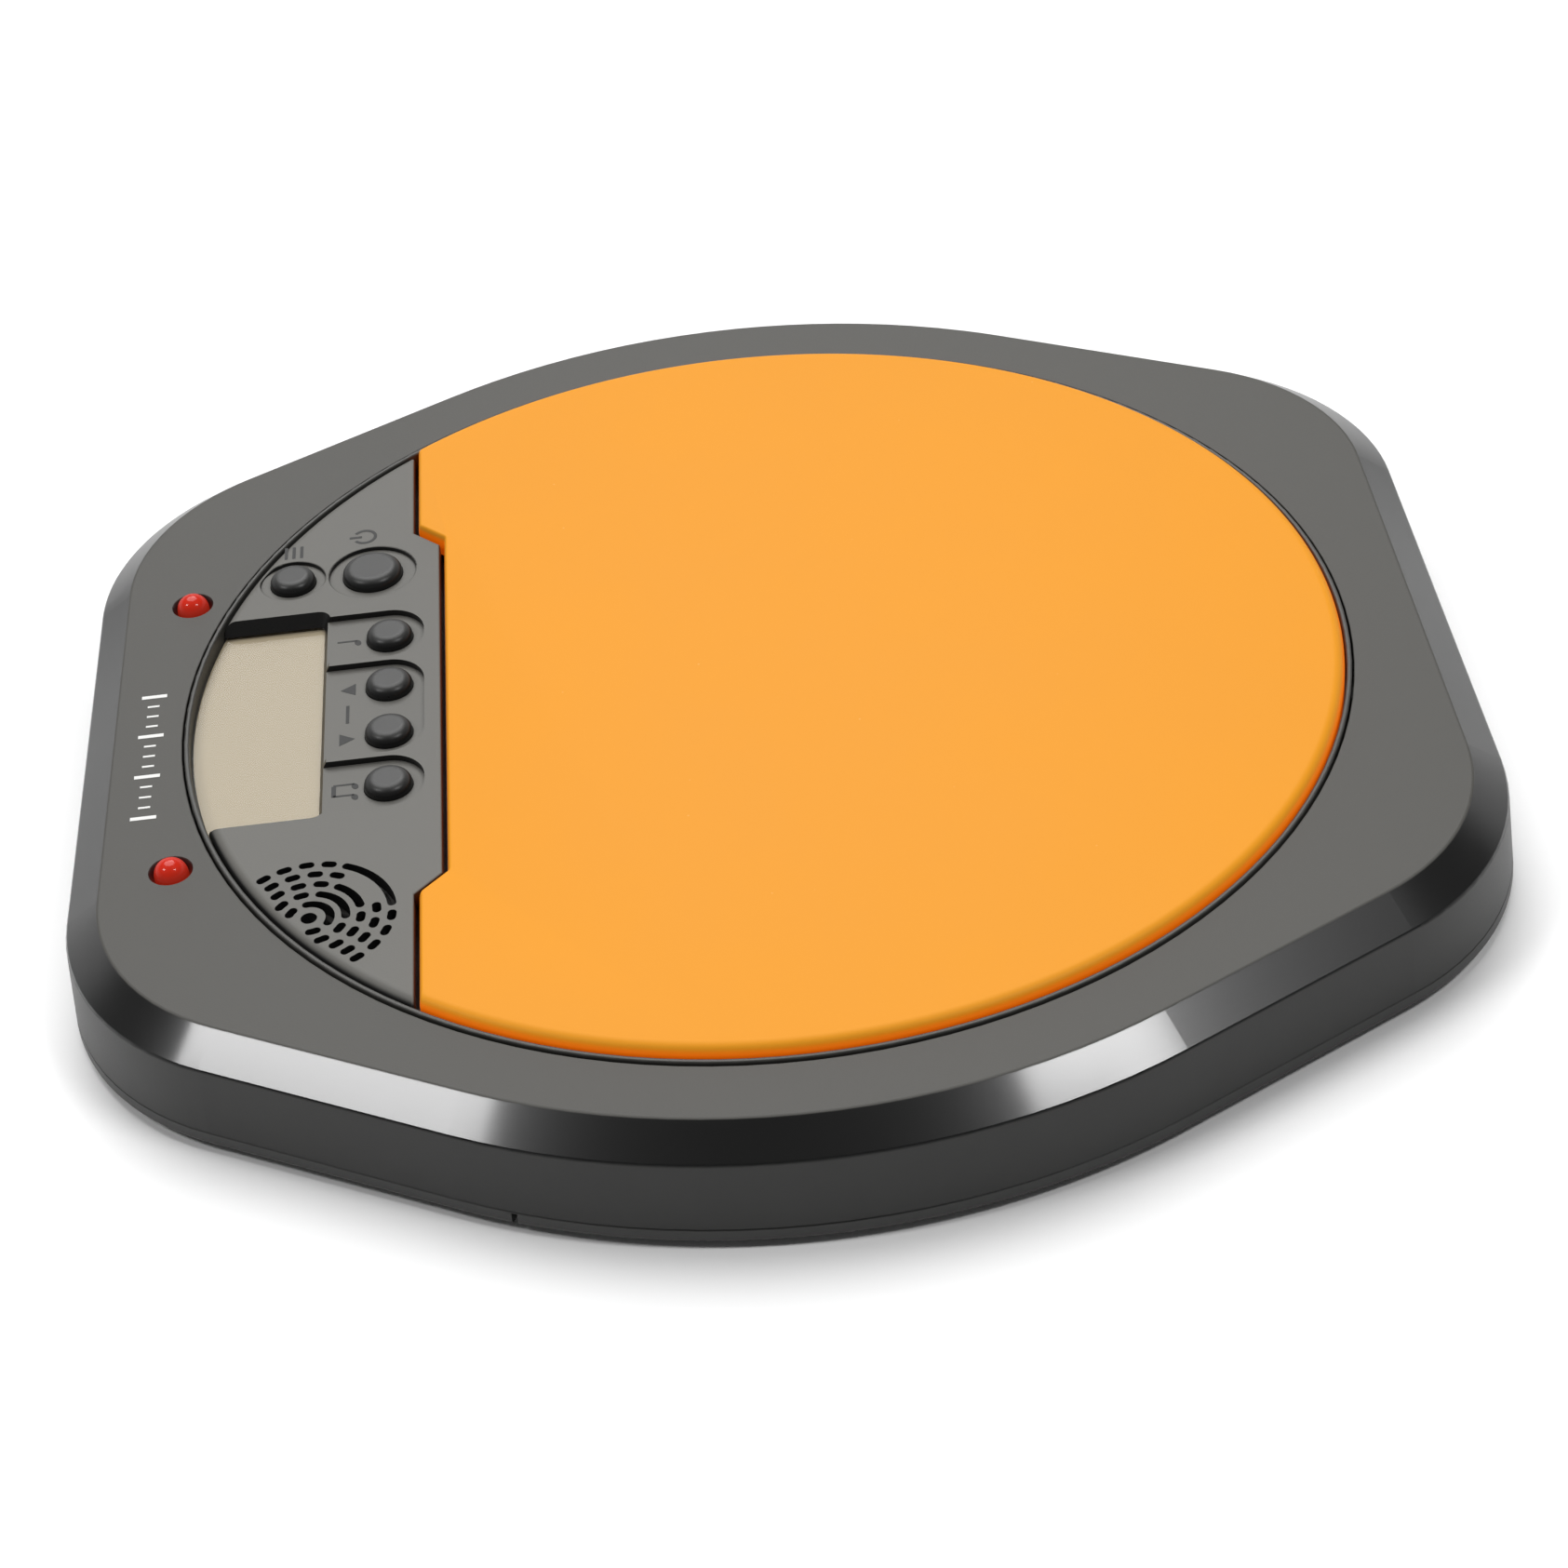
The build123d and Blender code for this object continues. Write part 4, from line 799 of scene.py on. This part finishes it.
@dataclass
class Layer:
    """A slab in the shape of the playing side, with rounded edges, that stands for a CAD node."""

    node: str
    piece: str
    finish: Finish
    slot: str
    fill: float
    shrink: float
    edge_radius: float
    edge_rings: int = 10
    foot_radius: float = 0.3
    outline: PadOutline = field(default_factory=PadOutline)

    def _profile(self, low: float, high: float) -> list[Point]:
        """Inset and height of each ring, from the foot to the top.

        Args:
            low: Underside in millimetres.
            high: Top in millimetres.

        Returns:
            The rings.
        """
        rings = [(self.shrink + self.foot_radius, low), (self.shrink, low + self.foot_radius)]
        for count in range(self.edge_rings + 1):
            turn = math.radians(90 * count / self.edge_rings)
            rings.append((self.shrink + self.edge_radius * (1 - math.cos(turn)),
                          high - self.edge_radius * (1 - math.sin(turn))))
        return rings

    def build(self) -> bpy.types.Object:
        """Builds the slab in the place of its CAD node.

        Returns:
            The piece.
        """
        low, high = (corner.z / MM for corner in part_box(self.node))
        mesh = bmesh.new()
        below: list[bmesh.types.BMVert] = []
        for inset, height in self._profile(low, high):
            ring = [mesh.verts.new((x * MM, y * MM, height * MM)) for x, y in self.outline.ring(inset)]
            if below:
                for here in range(len(ring)):
                    after = (here + 1) % len(ring)
                    mesh.faces.new((below[here], below[after], ring[after], ring[here]))
            else:
                mesh.faces.new(list(reversed(ring)))
            below = ring
        mesh.faces.new(below)
        piece = add_piece(self.piece, mesh, self.finish, ROOT_BODY)
        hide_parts(self.node)
        return piece


class Stencil:
    """Flat printed shapes, gathered into one thin mesh."""

    def __init__(self, level: float, thickness: float = 0.05, sunk: float = 0.03) -> None:
        """Starts a stencil whose ink lies on a level, all in millimetres."""
        self.mesh = bmesh.new()
        self.low = (level - sunk) * MM
        self.high = (level + thickness) * MM

    def shape(self, points: Ring) -> None:
        """Adds one closed outline as a thin plate.

        Args:
            points: The outline in millimetres, anticlockwise.
        """
        lower = [self.mesh.verts.new((x * MM, y * MM, self.low)) for x, y in points]
        upper = [self.mesh.verts.new((x * MM, y * MM, self.high)) for x, y in points]
        self.mesh.faces.new(upper)
        self.mesh.faces.new(list(reversed(lower)))
        for here in range(len(points)):
            after = (here + 1) % len(points)
            self.mesh.faces.new((lower[here], lower[after], upper[after], upper[here]))

    def bar(self, x: float, y: float, width: float, height: float) -> None:
        """Adds a bar round a centre."""
        half, rise = width / 2, height / 2
        self.shape([(x - half, y - rise), (x + half, y - rise), (x + half, y + rise), (x - half, y + rise)])

    def disc(self, x: float, y: float, width: float, height: float, lean: float = 0.0) -> None:
        """Adds an oval.

        Args:
            x: Centre.
            y: Centre.
            width: Full width.
            height: Full height.
            lean: How far it is turned, in degrees.
        """
        turn = Matrix.Rotation(math.radians(lean), 2)
        rim = [turn @ Vector((width / 2 * math.cos(a), height / 2 * math.sin(a)))
               for a in (math.tau * count / 28 for count in range(28))]
        self.shape([(x + point.x, y + point.y) for point in rim])

    def arc(self, x: float, y: float, radius: float, line: float, start: float, end: float) -> None:
        """Adds part of a ring.

        Args:
            x: Centre.
            y: Centre.
            radius: Middle of its line.
            line: Width of its line.
            start: First end, in degrees.
            end: Last end, in degrees.
        """
        count = max(6, round(abs(end - start) / 9))
        angles = [math.radians(start + (end - start) * step / count) for step in range(count + 1)]
        outer, inner = radius + line / 2, radius - line / 2
        self.shape([(x + outer * math.cos(a), y + outer * math.sin(a)) for a in angles]
                   + [(x + inner * math.cos(a), y + inner * math.sin(a)) for a in reversed(angles)])

    def triangle(self, x: float, y: float, width: float, height: float) -> None:
        """Adds a triangle that points up, or down where its height is negative."""
        corners = [(x - width / 2, y - height / 2), (x + width / 2, y - height / 2), (x, y + height / 2)]
        self.shape(corners if height > 0 else corners[::-1])


@dataclass
class PlayingSurface:
    """The silicone pad and what lies under it on the tray."""

    pad_edge: float = 2.6
    foam_edge: float = 0.4

    def build(self) -> None:
        """Builds the soft layers and dresses the sensor under them."""
        Layer("playing_pad", "playing_pad_silicone", PAD, "silicone", 1.0, 0.0, self.pad_edge).build()
        Layer("damping_sheet", "damping_foam_sheet", FOAM, "foam", 0.9, 0.6, self.foam_edge, edge_rings=3).build()
        dress(STEEL, "sensor_plate")
        dress(BRASS, "piezo_sensor")


@dataclass
class Casing:
    """The two halves of the casing, the tray in its opening, its feet, screws and stand insert."""

    scale_centre: Point = (-7.5, 135.0)
    scale_ticks: int = 13
    scale_pitch: float = 3.6
    tall_tick: Point = (1.1, 5.6)
    short_tick: Point = (0.6, 2.6)
    beat: int = 4

    def build(self) -> None:
        """Dresses the shells and prints the scale between the LEDs."""
        dress(CASING, "upper_case")
        dress(LOWER, "lower_case")
        dress(TRAY, "pad_tray")
        dress(FOOT, "foot_rear_right", "foot_rear_left", "foot_front_left", "foot_front_right")
        dress(SCREW, "case_screws", "tray_screws", "panel_screws", "board_screws", "jack_board_screws")
        dress(BRASS, "stand_insert")
        self._print_scale()

    def _print_scale(self) -> None:
        """Prints a plain row of beat ticks, every fourth one tall."""
        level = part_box("upper_case")[1].z / MM
        stencil = Stencil(level)
        x, y = self.scale_centre
        for count in range(self.scale_ticks):
            width, height = self.short_tick if count % self.beat else self.tall_tick
            place = x + (count - (self.scale_ticks - 1) / 2) * self.scale_pitch
            stencil.bar(place, y, width, height)
        add_piece("beat_scale", stencil.mesh, PALE_INK, ROOT_BODY)


@dataclass
class ControlPanel:
    """The panel with its key marks, keys and grille."""

    tray_level: float = 25.6
    top_level: float = 27.1
    row_y: float = 91.8
    line: float = 0.75
    note_size: float = 5.6
    beat_x: float = 26.6
    arrow_x: float = 9.0
    arrow_width: float = 4.2
    arrow_height: float = 3.4
    dash: float = 6.4
    rhythm_x: tuple[float, float] = (-29.5, -25.8)
    beam_x: float = -27.0
    beam_rise: float = 2.6
    beam_length: float = 3.7
    beam_line: float = 1.0
    power_x: float = 66.6
    power_y: float = 88.5
    power_radius: float = 2.5
    power_gap: tuple[float, float] = (125, 415)
    stroke_y: float = 90.6
    stroke: float = 2.9
    mode_x: float = 63.2
    mode_y: float = 105.0
    mode_rises: tuple[float, float, float] = (-1.8, 0.0, 1.8)
    mode_length: float = 4.6

    def build(self) -> None:
        """Dresses the panel and its keys, and prints the key marks."""
        dress(PANEL, "control_panel")
        dress(KEY, "power_button", "mode_button", "beat_button", "tempo_up_button", "tempo_down_button",
              "rhythm_button")
        add_piece("key_tray_marks", self._tray_marks().mesh, DARK_INK, ROOT_BODY)
        add_piece("dish_marks", self._dish_marks().mesh, DARK_INK, ROOT_BODY)

    def _note(self, stencil: Stencil, x: float, y: float, size: float) -> None:
        """Adds a plain quarter note.

        Args:
            stencil: Where it is printed.
            x: Left side of its head.
            y: Its middle.
            size: Its height.
        """
        stencil.disc(x, y - size * 0.35, size * 0.36, size * 0.26, 20)
        stencil.bar(x + size * 0.15, y + size * 0.08, size * 0.09, size * 0.8)

    def _tray_marks(self) -> Stencil:
        """Marks in the trays: a note for the beat, arrows for the tempo, and joined notes for the rhythm."""
        stencil = Stencil(self.tray_level)
        self._note(stencil, self.beat_x, self.row_y, self.note_size)
        stencil.triangle(self.arrow_x, self.row_y, self.arrow_width, self.arrow_height)
        stencil.triangle(-self.arrow_x, self.row_y, self.arrow_width, -self.arrow_height)
        stencil.bar(0, self.row_y, self.dash, self.line)
        for x in self.rhythm_x:
            self._note(stencil, x, self.row_y, self.note_size)
        stencil.bar(self.beam_x, self.row_y + self.beam_rise, self.beam_length, self.beam_line)
        return stencil

    def _dish_marks(self) -> Stencil:
        """Marks beside the dishes: a broken ring for power, and three rules for the mode."""
        stencil = Stencil(self.top_level)
        stencil.arc(self.power_x, self.power_y, self.power_radius, self.line, *self.power_gap)
        stencil.bar(self.power_x, self.stroke_y, self.line, self.stroke)
        for rise in self.mode_rises:
            stencil.bar(self.mode_x, self.mode_y + rise, self.mode_length, self.line)
        return stencil


@dataclass
class Display:
    """The display module under its film and clear window."""

    def build(self) -> None:
        """Dresses the module, the film and the window."""
        dress(FACE, "display_film")
        dress(MODULE, "display_module")
        dress(WINDOW, "display_window")


@dataclass
class Electronics:
    """Boards, switches, speaker, LEDs, sockets, cells and leads."""

    def build(self) -> None:
        """Dresses them all."""
        dress(LED, "led_right", "led_left")
        dress(BOARD, "main_board", "led_board_right", "led_board_left", "jack_board")
        dress(SWITCH, "tact_switches")
        dress(STEEL, "speaker_frame")
        dress(CONE, "speaker_cone")
        dress(MAGNET, "speaker_magnet")
        dress(SOCKET, "phones_jack", "power_jack")
        dress(CELL, "cell_1", "cell_2", "cell_3")
        dress(NICKEL, "contact_plates", "contact_springs")
        dress(LEAD, "sensor_lead", "battery_lead", "speaker_lead", "jack_lead", "led_lead_right", "led_lead_left")


@dataclass
class BatteryDoor:
    """The hinged door under the cells."""

    def build(self) -> None:
        """Dresses the door."""
        dress(LOWER, "battery_door")


@dataclass
class Softbox:
    """A large soft lamp that looks at the object."""

    name: str
    azimuth: float
    elevation: float
    distance: float
    width: float
    height: float
    power: float
    spin: float = 0.0

    def build(self) -> None:
        """Adds the lamp, which the camera doesn't see."""
        data = bpy.data.lights.new(self.name, "AREA")
        data.shape = "RECTANGLE"
        data.size, data.size_y, data.energy = self.width, self.height, self.power
        lamp = bpy.data.objects.new(self.name, data)
        azimuth, elevation = math.radians(self.azimuth), math.radians(self.elevation)
        away = Vector((math.cos(elevation) * math.cos(azimuth), math.cos(elevation) * math.sin(azimuth),
                       math.sin(elevation)))
        lamp.location = away * self.distance
        turn = Matrix.Rotation(math.radians(self.spin), 4, "Z")
        lamp.rotation_euler = (away.to_track_quat("Z", "Y").to_matrix().to_4x4() @ turn).to_euler()
        lamp.visible_camera = False
        bpy.context.scene.collection.objects.link(lamp)
        log.info("lit by %s", self.name)


@dataclass
class Studio:
    """Floor, lamps, surroundings and camera."""

    backdrop: Colour = (0.7, 0.7, 0.7)
    overhead: Colour = (0.07, 0.07, 0.07)
    backdrop_top: Point = (0.28, 0.48)
    backdrop_turn: Point = (-0.6, 0.5)
    front_share: float = 0.25
    floor_half: float = 12.0
    fill_strength: float = 2.75
    fill_azimuth: float = 5.0
    fill_elevation: float = 58.0
    fill_angle: float = 50.0
    camera_place: tuple[float, float, float] = (-0.63371, 0.00852, 0.49386)
    camera_turn: tuple[float, float, float] = (51.4988, 4.6931, -94.6523)
    lens: float = 82.374
    sensor: float = 36.0
    clip: Point = (0.02, 60.0)
    softboxes: tuple[Softbox, ...] = (
        Softbox("softbox_panel_side", 104.0, 51.0, 2.2, 0.60, 0.34, 11.5, 36.0),
        Softbox("softbox_player_side", -120.0, 57.0, 2.2, 0.62, 0.34, 13.5, -36.0),
        Softbox("softbox_rear", -3.0, 40.0, 2.2, 0.6, 0.5, 2.5),
    )

    def build(self) -> None:
        """Sets the whole stage."""
        self._floor()
        self._surroundings()
        self._fill()
        for softbox in self.softboxes:
            softbox.build()
        self._camera()

    def _floor(self) -> None:
        """Lays the floor under the feet."""
        mesh = bmesh.new()
        bmesh.ops.create_grid(mesh, x_segments=8, y_segments=8, size=self.floor_half)
        data = bpy.data.meshes.new("studio_floor")
        mesh.to_mesh(data)
        mesh.free()
        floor = bpy.data.objects.new("studio_floor", data)
        data.materials.append(FLOOR.material())
        bpy.context.scene.collection.objects.link(floor)

    def _surroundings(self) -> None:
        """Surrounds the object with a room that is bright low down at the back and dim overhead."""
        world = bpy.data.worlds.new("studio_room")
        bpy.context.scene.world = world
        shading = Shading(world)
        direction = Signal(shading, shading.coordinates.outputs["Generated"])
        parts = shading.node("ShaderNodeSeparateXYZ", sockets={0: direction})
        along, height = Signal(shading, parts.outputs["X"]), Signal(shading, parts.outputs["Z"])
        back = self.front_share + along.step(*self.backdrop_turn) * (1 - self.front_share)
        glow = (1 - height.step(*self.backdrop_top)) * back
        room = shading.mix(glow, self.overhead, self.backdrop)
        background = shading.node("ShaderNodeBackground", sockets={"Color": room, "Strength": 1.0})
        output = shading.node("ShaderNodeOutputWorld")
        shading.tree.links.new(background.outputs[0], output.inputs[0])

    def _fill(self) -> None:
        """Adds the broad even light from above and behind."""
        data = bpy.data.lights.new("broad_fill", "SUN")
        data.energy = self.fill_strength
        data.angle = math.radians(self.fill_angle)
        lamp = bpy.data.objects.new("broad_fill", data)
        azimuth, elevation = math.radians(self.fill_azimuth), math.radians(self.fill_elevation)
        away = Vector((math.cos(elevation) * math.cos(azimuth), math.cos(elevation) * math.sin(azimuth),
                       math.sin(elevation)))
        lamp.rotation_euler = away.to_track_quat("Z", "Y").to_euler()
        bpy.context.scene.collection.objects.link(lamp)

    def _camera(self) -> None:
        """Places the camera."""
        data = bpy.data.cameras.new("studio_camera")
        data.lens, data.sensor_width = self.lens, self.sensor
        data.clip_start, data.clip_end = self.clip
        camera = bpy.data.objects.new("studio_camera", data)
        camera.location = self.camera_place
        camera.rotation_euler = [math.radians(angle) for angle in self.camera_turn]
        bpy.context.scene.collection.objects.link(camera)
        bpy.context.scene.camera = camera
        bpy.context.scene.view_settings.view_transform = "Standard"
        bpy.context.scene.view_settings.look = "None"


def main() -> None:
    """Builds every sub-assembly and the studio round it."""
    logging.basicConfig(level=logging.INFO, format="%(name)s: %(message)s")
    builders: list[Callable[[], None]] = [
        Casing().build, PlayingSurface().build, ControlPanel().build, Display().build, Electronics().build,
        BatteryDoor().build, Studio().build,
    ]
    for build in builders:
        build()


if __name__ == "__main__":
    main()
